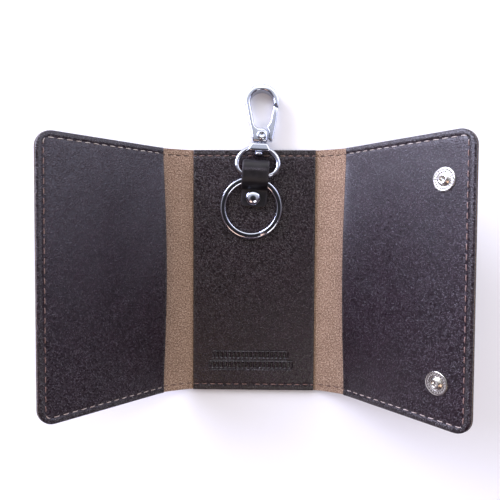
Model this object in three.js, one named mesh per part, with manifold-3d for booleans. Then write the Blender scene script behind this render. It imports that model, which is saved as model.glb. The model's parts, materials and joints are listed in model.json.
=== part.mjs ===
// Trifold leather key organiser: a leather cover of three panels and two soft spines, lined panels
// sewn on all round, two press studs, and a leather strap that holds a split ring and a swivel hook.
// Millimetres, +Z up. It lies open on its back: the origin is the centre of the centre panel's
// outer face, +X runs across the panels and +Y towards the hook. Both wings stand half open.

import * as THREE from 'three';
import { mergeVertices } from 'three/addons/utils/BufferGeometryUtils.js';
import Module from 'manifold-3d';

const wasm = await Module();
wasm.setup();

// ---------------------------------------------------------------- driving dimensions

const HEIGHT = 108;            // along Y, the same for all panels
const COVER = 1.2;             // outer leather
const LINING = 1.0;            // lining leather
const GLUE = 0.1;              // between cover and lining
const CENTRE_LINING_WIDTH = 54.4;
const CREASE_OFFSET = 1.2;     // from the centre lining's edge to the first crease
const CREASE_GAP = 0.15;       // each segment of the cover stops this short of a crease
const CORNER = 6.5;            // outer corners of the wings
const FACETS = 24;             // around most turned pieces

const SPINE_WIDTH = { left: 12.6, right: 13.0 };
const WING_WIDTH = { left: 56.4, right: 58.5 };       // from the second crease to the outer edge
const WING_ANGLE = { left: 48, right: 51.4 };         // at rest, from lying flat, in degrees
const LINING_START = 0.4;      // the wing linings start this far past the second crease
const CLOSED_TILT = 4.5;       // closed, both wings lean this much, so that the right one clears the left

const SEAM_INSET = 2.7;        // seam line from every edge
const SEAM_CORNER = 2.2;
const SEAM_END = 0.8;          // the seams stop this short of a crease
const THREAD = 0.5;            // thread width
const THREAD_DEPTH = 0.25;
const THREAD_CLEAR = 0.3;
const SKIN = 0.05;             // gap between pieces that touch

const STUD = { flange: 4.4, plate: 0.45, post: 1.9, bulb: 2.05, height: 1.7, hole: 0.95 };
const STUD_ROWS = { upper: { u: 47.0, y: 36.6 }, lower: { u: 45.4, y: -37.6 } };   // u from the crease
const CAP = { radius: 5.2, dome: 1.5, rim: 0.4, post: 0.85 };
const SOCKET = { flange: 4.5, plate: 0.4, cup: 3.4, height: 1.9, bore: 2.2, groove: 2.75, wire: 0.25 };
const EYELET = { flange: 4.0, plate: 0.32, tube: 1.45, rim: 2.0, hole: 0.9 };

const RIVET = { x: -0.5, y: 32.5, cap: 3.3, dome: 1.8, back: 3.0, plate: 0.3, shank: 0.9 };
const STRAP = {
  width: 11.6, shift: 0.5, tail: -4.0, tip: 16.7, leather: 1.0, cavity: 5.3, lean: 3, corner: 2.6,
};
const RING = { outer: 13.7, inner: 11.2, thick: 1.9, x: -0.6, centre: -4.4, height: 4.83, droop: 2.8 };
const DEE = {
  x: 1.5, bar: 9.95, height: 6.95, droop: 6.7,                                // where its bar lies
  wire: 1.05, shift: -0.28, wide: 9.0, arch: 7.45, shoulder: 4.8, corner: 4.6,
};
const BOSS = { half: 3.6, flare: 1.4, low: 10.15, high: 13.95, thick: 3.3 };
const HOOK = {
  base: 14.05, thick: 4.4, eye: 18.1, crown: 18.8, outer: 7.5, inner: 5.15, shank: 1.1, head: 1.9,
};
const GATE = { x: 0.8, v: 3.2, boss: 2.0, pin: 0.85, head: 2.1, slot: 1.3, tailThick: 4.0 };

// ---------------------------------------------------------------- derived places

const COVER_TOP = COVER;
const LINING_TOP = COVER + GLUE + LINING;
const LINING_FACE = GLUE + LINING;                    // the same height, seen from a crease
const HALF = HEIGHT / 2;
const FIRST_CREASE = CENTRE_LINING_WIDTH / 2 + CREASE_OFFSET;
const rad = THREE.MathUtils.degToRad;

// ---------------------------------------------------------------- materials

function material(color, roughness, metalness) {
  return new THREE.MeshStandardMaterial({ color, roughness, metalness });
}

const coverLeather = material(0x2b2326, 0.55, 0);
const spineSuede = material(0x927662, 0.95, 0);
const liningLeather = material(0x2e272b, 0.5, 0);
const threadMaterial = material(0x8a7468, 0.8, 0);
const chrome = material(0xc9cbd2, 0.15, 1);
const nickel = material(0xdcdcd8, 0.25, 1);

// ---------------------------------------------------------------- solids

function solid(geometry) {
  const bare = geometry.index ? geometry.toNonIndexed() : geometry.clone();
  bare.deleteAttribute('normal');
  bare.deleteAttribute('uv');
  const merged = mergeVertices(bare, 1e-4);
  return new wasm.Manifold(new wasm.Mesh({
    numProp: 3,
    vertProperties: merged.attributes.position.array,
    triVerts: new Uint32Array(merged.index.array),
  }));
}

function geometryOf(manifold) {
  const made = manifold.getMesh();
  const geometry = new THREE.BufferGeometry();
  geometry.setAttribute('position', new THREE.BufferAttribute(made.vertProperties, made.numProp));
  geometry.setIndex(new THREE.BufferAttribute(made.triVerts, 1));
  return geometry;
}

function addPiece(parent, name, manifold, look) {
  const mesh = new THREE.Mesh(geometryOf(manifold), look);
  mesh.name = name;
  parent.add(mesh);
}

function slab(shape, low, high, curveSegments = 6) {
  const depth = high - low;
  const geometry = new THREE.ExtrudeGeometry(shape, { depth, bevelEnabled: false, curveSegments });
  return solid(geometry.translate(0, 0, low));
}

// A plate of the outline's full size, centred on z = 0, with its edges rounded by `edge`.
function softPlate(shape, thick, edge, bevelSegments = 2, curveSegments = 10) {
  const geometry = new THREE.ExtrudeGeometry(shape, {
    depth: thick - 2 * edge,
    bevelEnabled: true,
    bevelThickness: edge,
    bevelSize: edge,
    bevelOffset: -edge,
    bevelSegments,
    curveSegments,
  });
  return solid(geometry.translate(0, 0, edge - thick / 2));
}

// Turned about Z. The profile is [radius, z] pairs and starts and ends on the axis or closes on itself.
function turned(profile, x = 0, y = 0, facets = FACETS) {
  const points = profile.map(([r, z]) => new THREE.Vector2(r, z));
  const spun = () => solid(new THREE.LatheGeometry(points, facets).rotateX(Math.PI / 2));
  let made = spun();
  if (made.volume() < 0) {
    points.reverse();
    made = spun();
  }
  return made.translate([x, y, 0]);
}

function rod(radius, low, high, x = 0, y = 0, facets = FACETS) {
  return turned([[0, low], [radius, low], [radius, high], [0, high]], x, y, facets);
}

function block(low, high) {
  const size = high.map((h, i) => h - low[i]);
  const middle = high.map((h, i) => (h + low[i]) / 2);
  return solid(new THREE.BoxGeometry(...size).translate(...middle));
}

function cutAll(body, cutters) {
  return cutters.reduce((left, cutter) => left.subtract(cutter), body);
}

// ---------------------------------------------------------------- outlines

function rectangle(x0, x1, y0, y1) {
  const shape = new THREE.Shape();
  shape.moveTo(x0, y0);
  shape.lineTo(x1, y0);
  shape.lineTo(x1, y1);
  shape.lineTo(x0, y1);
  shape.closePath();
  return shape;
}

// A wing panel from u = start to u = end, with its two outer corners rounded.
function wingOutline(start, end) {
  const shape = new THREE.Shape();
  shape.moveTo(start, -HALF);
  shape.lineTo(end - CORNER, -HALF);
  shape.absarc(end - CORNER, -HALF + CORNER, CORNER, -Math.PI / 2, 0, false);
  shape.lineTo(end, HALF - CORNER);
  shape.absarc(end - CORNER, HALF - CORNER, CORNER, 0, Math.PI / 2, false);
  shape.lineTo(start, HALF);
  shape.closePath();
  return shape;
}

// A band of the given width along the wing's seam: top, outer side and bottom.
function seamBand(start, end, width) {
  const y = HALF - SEAM_INSET;
  const out = SEAM_CORNER + width / 2;
  const into = SEAM_CORNER - width / 2;
  const cx = end - SEAM_INSET - SEAM_CORNER;
  const cy = y - SEAM_CORNER;
  const shape = new THREE.Shape();
  shape.moveTo(start, -y - width / 2);
  shape.lineTo(cx, -y - width / 2);
  shape.absarc(cx, -cy, out, -Math.PI / 2, 0, false);
  shape.lineTo(cx + out, cy);
  shape.absarc(cx, cy, out, 0, Math.PI / 2, false);
  shape.lineTo(start, y + width / 2);
  shape.lineTo(start, y - width / 2);
  shape.lineTo(cx, y - width / 2);
  shape.absarc(cx, cy, into, Math.PI / 2, 0, true);
  shape.lineTo(cx + into, -cy);
  shape.absarc(cx, -cy, into, 0, -Math.PI / 2, true);
  shape.lineTo(start, -y + width / 2);
  shape.closePath();
  return shape;
}

// ---------------------------------------------------------------- seams

// A lockstitched seam as one loop of thread: a strip on the inner face, a strip in a groove of the outer
// face, and a leg through the leather at each end. `outline(extra)` gives the strip widened by `extra`.
function seam(outline, ends, outerFace, innerFace) {
  const low = outerFace + SKIN;
  const high = innerFace + SKIN + THREAD_DEPTH;
  const half = THREAD / 2;
  const wide = half + THREAD_CLEAR;
  let thread = slab(outline(0), innerFace + SKIN, high).add(slab(outline(0), low, low + THREAD_DEPTH));
  const cuts = [slab(outline(2 * THREAD_CLEAR), outerFace - 1, low + THREAD_DEPTH + SKIN)];
  for (const [x, y] of ends) {
    thread = thread.add(block([x - half, y - half, low], [x + half, y + half, high]));
    cuts.push(block([x - wide, y - wide, outerFace - 1], [x + wide, y + wide, high]));
  }
  return { thread, cuts };
}

function straightSeam(x0, x1, y, outerFace, innerFace) {
  const half = (extra) => (THREAD + extra) / 2;
  const outline = (extra) => rectangle(x0 - extra / 2, x1 + extra / 2, y - half(extra), y + half(extra));
  const ends = [[x0 + THREAD / 2, y], [x1 - THREAD / 2, y]];
  return seam(outline, ends, outerFace, innerFace);
}

// ---------------------------------------------------------------- centre panel

const organiser = new THREE.Group();

function addCentrePanel() {
  const rows = { top: HALF - SEAM_INSET, bottom: -HALF + SEAM_INSET };
  const reach = CENTRE_LINING_WIDTH / 2 - SEAM_END;
  const cuts = [];
  for (const [row, y] of Object.entries(rows)) {
    const sewn = straightSeam(-reach, reach, y, 0, LINING_TOP);
    addPiece(organiser, 'centre_seam_' + row, sewn.thread, threadMaterial);
    cuts.push(...sewn.cuts);
  }
  const hole = rod(RIVET.shank + THREAD_CLEAR, COVER_TOP, LINING_TOP + 1, RIVET.x, RIVET.y);
  const sunk = COVER_TOP - RIVET.plate - SKIN;
  const recess = rod(RIVET.back + THREAD_CLEAR, sunk, COVER_TOP + GLUE, RIVET.x, RIVET.y);
  const edge = FIRST_CREASE - CREASE_GAP;
  const cover = slab(rectangle(-edge, edge, -HALF, HALF), 0, COVER_TOP);
  const side = CENTRE_LINING_WIDTH / 2;
  const lining = slab(rectangle(-side, side, -HALF, HALF), COVER_TOP + GLUE, LINING_TOP);
  addPiece(organiser, 'centre_cover', cutAll(cover, [...cuts, recess]), coverLeather);
  addPiece(organiser, 'centre_lining', cutAll(lining, [...cuts, hole]), liningLeather);
}

// ---------------------------------------------------------------- spines and wings

// Every spine and wing is drawn with u outwards from its crease and turned over for the left side.
function mirrored(manifold, side) {
  return side === 'left' ? manifold.mirror([1, 0, 0]) : manifold;
}

// A crease: a group whose origin lies on the inner face of the cover, turned up by `angle` degrees.
function crease(parent, side, distance, height, angle) {
  const sign = side === 'left' ? -1 : 1;
  const group = new THREE.Group();
  group.position.set(sign * distance, 0, height);
  group.rotation.y = -sign * rad(angle);
  parent.add(group);
  return group;
}

function addSpine(group, side) {
  const width = SPINE_WIDTH[side];
  const cuts = [];
  for (const [row, y] of Object.entries({ top: HALF - SEAM_INSET, bottom: -HALF + SEAM_INSET })) {
    const sewn = straightSeam(SEAM_END, width - SEAM_END, y, -COVER, 0);
    addPiece(group, side + '_spine_seam_' + row, mirrored(sewn.thread, side), threadMaterial);
    cuts.push(...sewn.cuts);
  }
  const leather = slab(rectangle(CREASE_GAP, width - CREASE_GAP, -HALF, HALF), -COVER, 0);
  addPiece(group, side + '_spine', mirrored(cutAll(leather, cuts), side), spineSuede);
}

function addWing(group, side, coverHoles, liningHoles) {
  const width = WING_WIDTH[side];
  const y = HALF - SEAM_INSET;
  const end = LINING_START + SEAM_END;
  const outline = (extra) => seamBand(end - extra / 2, width, THREAD + extra);
  const ends = [[end + THREAD / 2, y], [end + THREAD / 2, -y]];
  const sewn = seam(outline, ends, -COVER, LINING_FACE);
  const outer = slab(wingOutline(CREASE_GAP, width), -COVER, 0);
  const inner = slab(wingOutline(LINING_START, width), GLUE, LINING_FACE);
  const cover = cutAll(outer, [...sewn.cuts, ...coverHoles]);
  const lining = cutAll(inner, [...sewn.cuts, ...liningHoles]);
  addPiece(group, side + '_wing_seam', mirrored(sewn.thread, side), threadMaterial);
  addPiece(group, side + '_wing_cover', mirrored(cover, side), coverLeather);
  addPiece(group, side + '_wing_lining', mirrored(lining, side), liningLeather);
}

// ---------------------------------------------------------------- press studs

// The stud stands on the right wing's lining, and its cap's post comes through from the outside.
function studSolid(u, y) {
  const base = LINING_FACE + SKIN;
  const top = LINING_FACE + STUD.height;
  const plate = base + STUD.plate;
  return turned([
    [STUD.hole, base], [STUD.flange, base], [STUD.flange, plate - 0.15], [STUD.flange - 0.25, plate],
    [STUD.post + 0.3, plate], [STUD.post, plate + 0.3], [STUD.bulb, top - 0.4], [STUD.post - 0.3, top],
    [STUD.hole, top], [STUD.hole, base],
  ], u, y);
}

function capSolid(u, y) {
  const face = -COVER - SKIN;
  const post = LINING_FACE + STUD.height - 0.5;
  const arc = [0.2, 0.4, 0.6, 0.8].map((t) => t * Math.PI / 2);
  const dome = arc.map((a) => [CAP.radius * Math.sin(a), face - CAP.rim - CAP.dome * Math.cos(a)]);
  return turned([
    [0, face - CAP.rim - CAP.dome], ...dome, [CAP.radius, face - CAP.rim], [CAP.radius, face],
    [CAP.post, face], [CAP.post, post], [0, post],
  ], u, y);
}

// The socket sits on the left wing's outer face; an eyelet from inside the wing holds it.
function socketSolid(u, y) {
  const face = -COVER - SKIN;
  const plate = face - SOCKET.plate;
  const rim = face - SOCKET.height + SKIN;
  const hole = EYELET.tube + 0.2;
  return turned([
    [hole, face], [SOCKET.flange, face], [SOCKET.flange, plate], [SOCKET.cup + 0.2, plate],
    [SOCKET.cup - 0.1, rim + 0.3], [SOCKET.cup - 0.4, rim], [SOCKET.bore, rim], [SOCKET.bore, rim + 0.35],
    [SOCKET.groove, rim + 0.5], [SOCKET.groove, rim + 1.2], [SOCKET.bore, rim + 1.35],
    [SOCKET.bore, plate], [hole, plate], [hole, face],
  ], u, y);
}

function socketSpringSolid(u, y) {
  const rim = -COVER - SOCKET.height;
  const middle = SOCKET.bore + SOCKET.wire - 0.03;
  const centre = rim + 0.85;
  const section = [0, 1, 2, 3, 4, 5, 6, 7, 8].map((k) => {
    const a = k * Math.PI / 4;
    return [middle + SOCKET.wire * Math.cos(a), centre + SOCKET.wire * Math.sin(a)];
  });
  const gap = block([u, y - 0.4, centre - 1], [u + SOCKET.groove + 1, y + 0.4, centre + 1]);
  return turned(section, u, y).subtract(gap);
}

function eyeletSolid(u, y) {
  const inner = SKIN / 2 + EYELET.plate;
  const clamp = -COVER - SKIN - SOCKET.plate - SKIN;
  return turned([
    [EYELET.hole, inner], [EYELET.hole, clamp - 0.25], [EYELET.rim, clamp - 0.25], [EYELET.rim, clamp],
    [EYELET.tube, clamp], [EYELET.tube, SKIN / 2], [EYELET.flange, SKIN / 2], [EYELET.flange, inner],
    [EYELET.hole, inner],
  ], u, y);
}

// The place on the left wing that a stud at u on the right wing meets when both wings are closed.
function socketPlace(u) {
  const half = (tilt) => rad(90 + tilt / 2);
  const along = (side, sign, tilt) => {
    const spine = half(tilt);
    const wing = 2 * spine;
    const x = sign * (FIRST_CREASE + SPINE_WIDTH[side] * Math.cos(spine));
    const z = COVER_TOP + SPINE_WIDTH[side] * Math.sin(spine);
    return { x, z, dx: sign * Math.cos(wing), dz: Math.sin(wing) };
  };
  const right = along('right', 1, -CLOSED_TILT);
  const left = along('left', -1, CLOSED_TILT);
  const x = right.x + u * right.dx;
  const z = right.z + u * right.dz;
  return (x - left.x) * left.dx + (z - left.z) * left.dz;
}

function addRightWing(group) {
  const coverHoles = [];
  const liningHoles = [];
  for (const [row, { u, y }] of Object.entries(STUD_ROWS)) {
    const hole = rod(CAP.post + THREAD_CLEAR, -COVER - 1, LINING_FACE + 1, u, y, 12);
    coverHoles.push(hole);
    liningHoles.push(hole);
    addPiece(group, row + '_snap_stud', studSolid(u, y), nickel);
    addPiece(group, row + '_snap_cap', capSolid(u, y), nickel);
  }
  addWing(group, 'right', coverHoles, liningHoles);
}

function addLeftWing(group) {
  const coverHoles = [];
  const liningHoles = [];
  for (const [row, place] of Object.entries(STUD_ROWS)) {
    const { y } = place;
    const u = socketPlace(place.u);
    coverHoles.push(rod(EYELET.tube + THREAD_CLEAR, -COVER - 1, 1, u, y, 12));
    liningHoles.push(rod(EYELET.flange + THREAD_CLEAR, 0, EYELET.plate + 2 * SKIN, u, y, 16));
    addPiece(group, row + '_snap_socket', mirrored(socketSolid(u, y), 'left'), nickel);
    addPiece(group, row + '_socket_spring', mirrored(socketSpringSolid(u, y), 'left'), nickel);
    addPiece(group, row + '_socket_eyelet', mirrored(eyeletSolid(u, y), 'left'), nickel);
  }
  addWing(group, 'left', coverHoles, liningHoles);
}

// ---------------------------------------------------------------- key strap

// The strap's side view, with y along it and z up: a strip folded back on itself, its two ends flat
// under the rivet, and an open loop beyond them for the split ring and the D-ring's bar.
function strapProfile() {
  const low = LINING_TOP + SKIN;
  const t = STRAP.leather;
  const inside = low + t;
  const roof = inside + STRAP.cavity;
  const ends = RIVET.cap + 0.65;
  const bend = STRAP.cavity / 2;
  const y = STRAP.tip - t - bend;
  const shape = new THREE.Shape();
  shape.moveTo(STRAP.tail, low);
  shape.lineTo(y, low);
  shape.absarc(y, inside + bend, bend + t, -Math.PI / 2, Math.PI / 2, false);
  shape.lineTo(y - 4.5, roof + t);
  shape.lineTo(ends + 0.15, roof - 0.9 + t);
  shape.lineTo(ends - 0.25, inside + SKIN + t + 0.35);
  shape.lineTo(ends - 0.55, inside + SKIN + t);
  shape.lineTo(STRAP.tail, inside + SKIN + t);
  shape.lineTo(STRAP.tail, inside + SKIN);
  shape.lineTo(ends, inside + SKIN);
  shape.lineTo(ends + 0.95, roof - 0.8);
  shape.lineTo(y - 4.0, roof);
  shape.lineTo(y, roof);
  shape.absarc(y, inside + bend, bend, Math.PI / 2, -Math.PI / 2, true);
  shape.lineTo(STRAP.tail, inside);
  shape.closePath();
  return shape;
}

function strapPlan() {
  const left = STRAP.shift - STRAP.width / 2;
  const right = STRAP.shift + STRAP.width / 2;
  const r = STRAP.corner;
  const shape = new THREE.Shape();
  shape.moveTo(left + r, STRAP.tail);
  shape.lineTo(right - r, STRAP.tail);
  shape.absarc(right - r, STRAP.tail + r, r, -Math.PI / 2, 0, false);
  shape.lineTo(right, STRAP.tip + 1);
  shape.lineTo(left, STRAP.tip + 1);
  shape.absarc(left + r, STRAP.tail + r, r, Math.PI, 1.5 * Math.PI, false);
  return shape;
}

function strapSolid() {
  const geometry = new THREE.ExtrudeGeometry(strapProfile(), {
    depth: STRAP.width,
    bevelEnabled: false,
    curveSegments: 8,
  });
  geometry.rotateX(Math.PI / 2).rotateZ(Math.PI / 2).translate(STRAP.shift - STRAP.width / 2, 0, 0);
  const hole = rod(RIVET.shank + THREAD_CLEAR, 0, 20);
  return solid(geometry).intersect(slab(strapPlan(), 0, 20)).subtract(hole);
}

const STRAP_TOP = LINING_TOP + 2 * SKIN + 2 * STRAP.leather;

function rivetCapSolid() {
  const base = STRAP_TOP + SKIN;
  const inside = RIVET.shank + SKIN;
  const arc = [0.75, 0.5, 0.25].map((t) => t * Math.PI / 2);
  const dome = arc.map((a) => [RIVET.cap * Math.sin(a), base + 0.3 + (RIVET.dome - 0.3) * Math.cos(a)]);
  return turned([
    [0, base + 0.95], [inside, base + 0.95], [inside, base], [RIVET.cap, base], [RIVET.cap, base + 0.3],
    ...dome, [0, base + RIVET.dome],
  ]);
}

function rivetPostSolid() {
  const low = COVER_TOP - RIVET.plate;
  const top = STRAP_TOP + SKIN + 0.9;
  const plate = COVER_TOP + SKIN;
  return turned([
    [0, low], [RIVET.back, low], [RIVET.back, plate], [RIVET.shank, plate], [RIVET.shank, top], [0, top],
  ]);
}

// ---------------------------------------------------------------- split ring

// Two turns of flat wire; a groove round the rim and the bore shows where they part.
function splitRingSolid() {
  const half = RING.thick / 2;
  const groove = 0.25;
  const edge = 0.2;
  return turned([
    [RING.inner, -half + edge], [RING.inner + edge, -half], [RING.outer - edge, -half],
    [RING.outer, -half + edge], [RING.outer, -groove / 2], [RING.outer - groove, 0],
    [RING.outer, groove / 2], [RING.outer, half - edge], [RING.outer - edge, half],
    [RING.inner + edge, half], [RING.inner, half - edge], [RING.inner, groove / 2],
    [RING.inner + groove, 0], [RING.inner, -groove / 2], [RING.inner, -half + edge],
  ], 0, 0, 48);
}

// ---------------------------------------------------------------- swivel D-ring

function deeOutline(offset) {
  const inset = DEE.wide - DEE.corner;
  const low = DEE.corner + offset;
  const rise = DEE.shoulder + offset;
  const { shift, shoulder } = DEE;
  const path = new THREE.Shape();
  path.moveTo(shift - inset, -offset);
  path.lineTo(shift + inset, -offset);
  path.absellipse(shift + inset, shoulder, low, rise, -Math.PI / 2, 0, false);
  path.absellipse(shift, shoulder, DEE.wide + offset, DEE.arch + offset, 0, Math.PI, false);
  path.absellipse(shift - inset, shoulder, low, rise, Math.PI, 1.5 * Math.PI, false);
  return path;
}

function deeSolid() {
  const outline = deeOutline(DEE.wire);
  outline.holes.push(deeOutline(-DEE.wire));
  const wire = softPlate(outline, 2 * DEE.wire, 0.85 * DEE.wire, 2, 10);
  const side = BOSS.half;
  const saddle = new THREE.Shape();
  saddle.moveTo(-side, BOSS.high);
  saddle.lineTo(-side - BOSS.flare, BOSS.low + 0.4);
  saddle.lineTo(-side + 1.0, BOSS.low);
  saddle.lineTo(side - 1.0, BOSS.low);
  saddle.lineTo(side + BOSS.flare, BOSS.low + 0.4);
  saddle.lineTo(side, BOSS.high);
  const boss = softPlate(saddle, BOSS.thick, 0.6, 2);
  const bore = alongHook(rod(HOOK.shank + 0.12, BOSS.low - 1, BOSS.high + 1));
  return wire.add(boss).subtract(bore);
}

// Turns a piece whose axis is Z so that its axis lies along the D-ring's +Y.
function alongHook(manifold) {
  return manifold.rotate([-90, 0, 0]);
}

// ---------------------------------------------------------------- snap hook

// The hook's outline in x and v, with v from its base towards its tip. The right side ends in the nose.
function hookOutline() {
  const shape = new THREE.Shape();
  shape.moveTo(-2.7, 0.3);
  shape.lineTo(3.2, 0.3);
  shape.lineTo(3.4, 1.2);
  shape.lineTo(3.4, 4.4);
  shape.lineTo(1.7, 6.5);
  shape.lineTo(-1.2, 6.4);
  shape.quadraticCurveTo(-2.3, 6.9, -2.8, 8.4);
  shape.lineTo(-HOOK.inner, HOOK.eye);
  shape.absarc(0, HOOK.eye, HOOK.inner, Math.PI, 0, true);
  shape.lineTo(5.05, 17.4);
  shape.lineTo(7.3, 16.2);
  shape.lineTo(HOOK.outer, HOOK.crown);
  shape.absarc(0, HOOK.crown, HOOK.outer, 0, Math.PI, false);
  shape.lineTo(-4.7, 7.4);
  shape.lineTo(-3.3, 2.2);
  shape.closePath();
  return shape;
}

// The swivel shank passes through the D-ring's boss and is peened over inside the ring.
function shankSolid() {
  const boss = BOSS.low - HOOK.base;
  return alongHook(turned([
    [0, boss - 1.8], [HOOK.head - 0.5, boss - 1.8], [HOOK.head, boss - 1.3], [HOOK.head, boss - 0.6],
    [HOOK.head - 0.3, boss - 0.3], [HOOK.shank, boss - 0.3], [HOOK.shank, 0.6], [0, 0.6],
  ]));
}

function hookSolid() {
  const plate = softPlate(hookOutline(), HOOK.thick, 0.7, 2, 12);
  const slotRound = rod(GATE.boss + 0.35, -GATE.slot, GATE.slot, GATE.x, GATE.v);
  const slotSide = block([GATE.x, GATE.v - GATE.boss - 0.35, -GATE.slot], [9, 14, GATE.slot]);
  const slotTop = block([GATE.x - 1, GATE.v, -GATE.slot], [9, 14, GATE.slot]);
  const pinHole = rod(GATE.pin + SKIN, -HOOK.thick, HOOK.thick, GATE.x, GATE.v, 16);
  return cutAll(plate, [slotRound, slotSide, slotTop, pinHole]).add(shankSolid());
}

// The gate's arm, outside the hook's base, with a mating face square to its swing and a thumb tail.
function gateArmOutline() {
  const shape = new THREE.Shape();
  shape.moveTo(3.8, 1.5);
  shape.lineTo(5.5, 1.1);
  shape.lineTo(6.2, 4.4);
  shape.lineTo(6.9, 10.0);
  shape.lineTo(7.3, 15.8);
  shape.lineTo(5.05, 17.0);
  shape.lineTo(4.1, 9.6);
  shape.lineTo(2.5, 6.9);
  shape.lineTo(3.8, 5.0);
  shape.closePath();
  return shape;
}

function gateWebOutline() {
  const shape = new THREE.Shape();
  shape.moveTo(1.6, 1.7);
  shape.lineTo(4.6, 2.2);
  shape.lineTo(5.4, 8.0);
  shape.lineTo(4.6, 9.4);
  shape.lineTo(2.5, 6.4);
  shape.lineTo(-0.4, 4.4);
  shape.closePath();
  return shape;
}

function gateSolid() {
  const low = -0.45;
  const high = GATE.slot - 0.15;
  const boss = rod(GATE.boss, low, high, GATE.x, GATE.v);
  const web = slab(gateWebOutline(), low, high);
  const arm = softPlate(gateArmOutline(), GATE.tailThick, 0.6, 2);
  const hole = rod(GATE.pin + SKIN, -5, 5, GATE.x, GATE.v, 16);
  return boss.add(web).add(arm).subtract(hole);
}

// A short torsion coil round the pin, in the slot under the gate.
function gateSpringSolid() {
  const low = -GATE.slot + SKIN;
  const high = -0.45 - SKIN;
  const inner = GATE.pin + 0.15;
  const outer = GATE.boss - 0.3;
  const section = [[inner, low], [outer, low], [outer, high], [inner, high], [inner, low]];
  return turned(section, GATE.x, GATE.v);
}

function gatePinSolid() {
  const face = HOOK.thick / 2 + SKIN;
  const head = face + 0.35;
  return turned([
    [0, -head], [GATE.head - 0.3, -head], [GATE.head, -face], [GATE.pin, -face],
    [GATE.pin, face], [GATE.head, face], [GATE.head - 0.3, head], [0, head],
  ], GATE.x, GATE.v);
}

function addKeyHolder() {
  const strap = new THREE.Group();
  strap.position.set(RIVET.x, RIVET.y, 0);
  strap.rotation.z = -rad(STRAP.lean);
  organiser.add(strap);
  addPiece(strap, 'key_strap', strapSolid(), liningLeather);
  addPiece(strap, 'strap_rivet_cap', rivetCapSolid(), chrome);
  addPiece(organiser, 'strap_rivet_post', rivetPostSolid().translate([RIVET.x, RIVET.y, 0]), nickel);

  const ringMiddle = (RING.outer + RING.inner) / 2;
  const ring = new THREE.Group();
  ring.position.set(RING.x, RING.centre + ringMiddle, RING.height);
  ring.rotation.x = rad(RING.droop);
  strap.add(ring);
  addPiece(ring, 'split_ring', splitRingSolid().translate([0, -ringMiddle, 0]), chrome);

  const dee = new THREE.Group();
  dee.position.set(DEE.x, DEE.bar, DEE.height);
  dee.rotation.x = -rad(DEE.droop);
  strap.add(dee);
  addPiece(dee, 'swivel_d_ring', deeSolid(), chrome);

  const hook = new THREE.Group();
  hook.position.y = HOOK.base;
  dee.add(hook);
  addPiece(hook, 'hook_body', hookSolid(), chrome);
  addPiece(hook, 'gate_lever', gateSolid(), chrome);
  addPiece(hook, 'gate_spring', gateSpringSolid(), nickel);
  addPiece(hook, 'gate_pin', gatePinSolid(), chrome);
}

// ---------------------------------------------------------------- assembly

addCentrePanel();
for (const side of ['left', 'right']) {
  const fold = WING_ANGLE[side] / 2;
  const spine = crease(organiser, side, FIRST_CREASE, COVER_TOP, fold);
  addSpine(spine, side);
  const wing = crease(spine, side, SPINE_WIDTH[side], 0, fold);
  if (side === 'left') addLeftWing(wing);
  else addRightWing(wing);
}
addKeyHolder();

export default organiser;
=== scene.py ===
"""Looks for a trifold leather key organiser: pebbled leather with a suede inside, sewn seams,
press studs, and a leather strap that holds a split ring and a swivel trigger hook.

All shapes are worked out in millimetres. The leather is drawn flat, as its cut pattern, and folded
round the two creases of each side: s runs outwards from the middle, y along the creases, and t is the
height above the cover's inner face."""

import json
import math

import bpy
import bmesh
import numpy as np
from mathutils import Matrix, Vector


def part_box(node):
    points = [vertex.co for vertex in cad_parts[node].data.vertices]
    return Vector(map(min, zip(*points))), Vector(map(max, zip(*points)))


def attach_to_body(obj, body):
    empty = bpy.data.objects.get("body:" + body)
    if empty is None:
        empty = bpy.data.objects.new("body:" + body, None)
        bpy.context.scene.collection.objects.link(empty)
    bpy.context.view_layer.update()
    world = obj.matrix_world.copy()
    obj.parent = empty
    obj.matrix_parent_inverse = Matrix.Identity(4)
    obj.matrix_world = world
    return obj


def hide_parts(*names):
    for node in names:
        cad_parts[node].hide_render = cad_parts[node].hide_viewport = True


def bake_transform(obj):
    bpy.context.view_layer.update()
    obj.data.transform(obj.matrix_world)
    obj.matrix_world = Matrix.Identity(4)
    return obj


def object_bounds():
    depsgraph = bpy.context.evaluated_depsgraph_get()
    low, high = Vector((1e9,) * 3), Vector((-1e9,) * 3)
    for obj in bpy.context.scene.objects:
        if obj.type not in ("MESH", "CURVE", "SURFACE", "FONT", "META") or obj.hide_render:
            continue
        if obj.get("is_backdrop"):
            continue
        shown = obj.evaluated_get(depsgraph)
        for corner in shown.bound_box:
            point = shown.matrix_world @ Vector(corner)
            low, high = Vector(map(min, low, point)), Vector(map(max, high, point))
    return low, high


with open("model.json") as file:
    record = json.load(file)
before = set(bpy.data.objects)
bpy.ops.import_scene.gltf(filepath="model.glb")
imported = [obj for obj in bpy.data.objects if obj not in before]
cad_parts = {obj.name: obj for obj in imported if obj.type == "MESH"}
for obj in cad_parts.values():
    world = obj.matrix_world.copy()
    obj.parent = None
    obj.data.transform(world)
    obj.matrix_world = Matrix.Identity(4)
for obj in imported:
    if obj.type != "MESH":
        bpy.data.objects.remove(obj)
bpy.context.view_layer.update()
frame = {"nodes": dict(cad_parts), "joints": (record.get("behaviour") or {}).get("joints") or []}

MM = 0.001
rng = np.random.default_rng(11)

# ---- sizes, from the frame


def joint_value(name, key):
    return np.array(next(j for j in frame["joints"] if j["name"] == name)[key], float)


def joint_place(name):
    return joint_value(name, "pos_m") / MM


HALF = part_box("centre_cover")[1].y / MM                       # half the panels' height
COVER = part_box("centre_cover")[1].z / MM                      # thickness of the cover leather
LINING_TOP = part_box("centre_lining")[1].z / MM - COVER        # a lining's face, above the cover's
CENTRE_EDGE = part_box("centre_lining")[1].x / MM               # the centre lining's free edges

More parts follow.
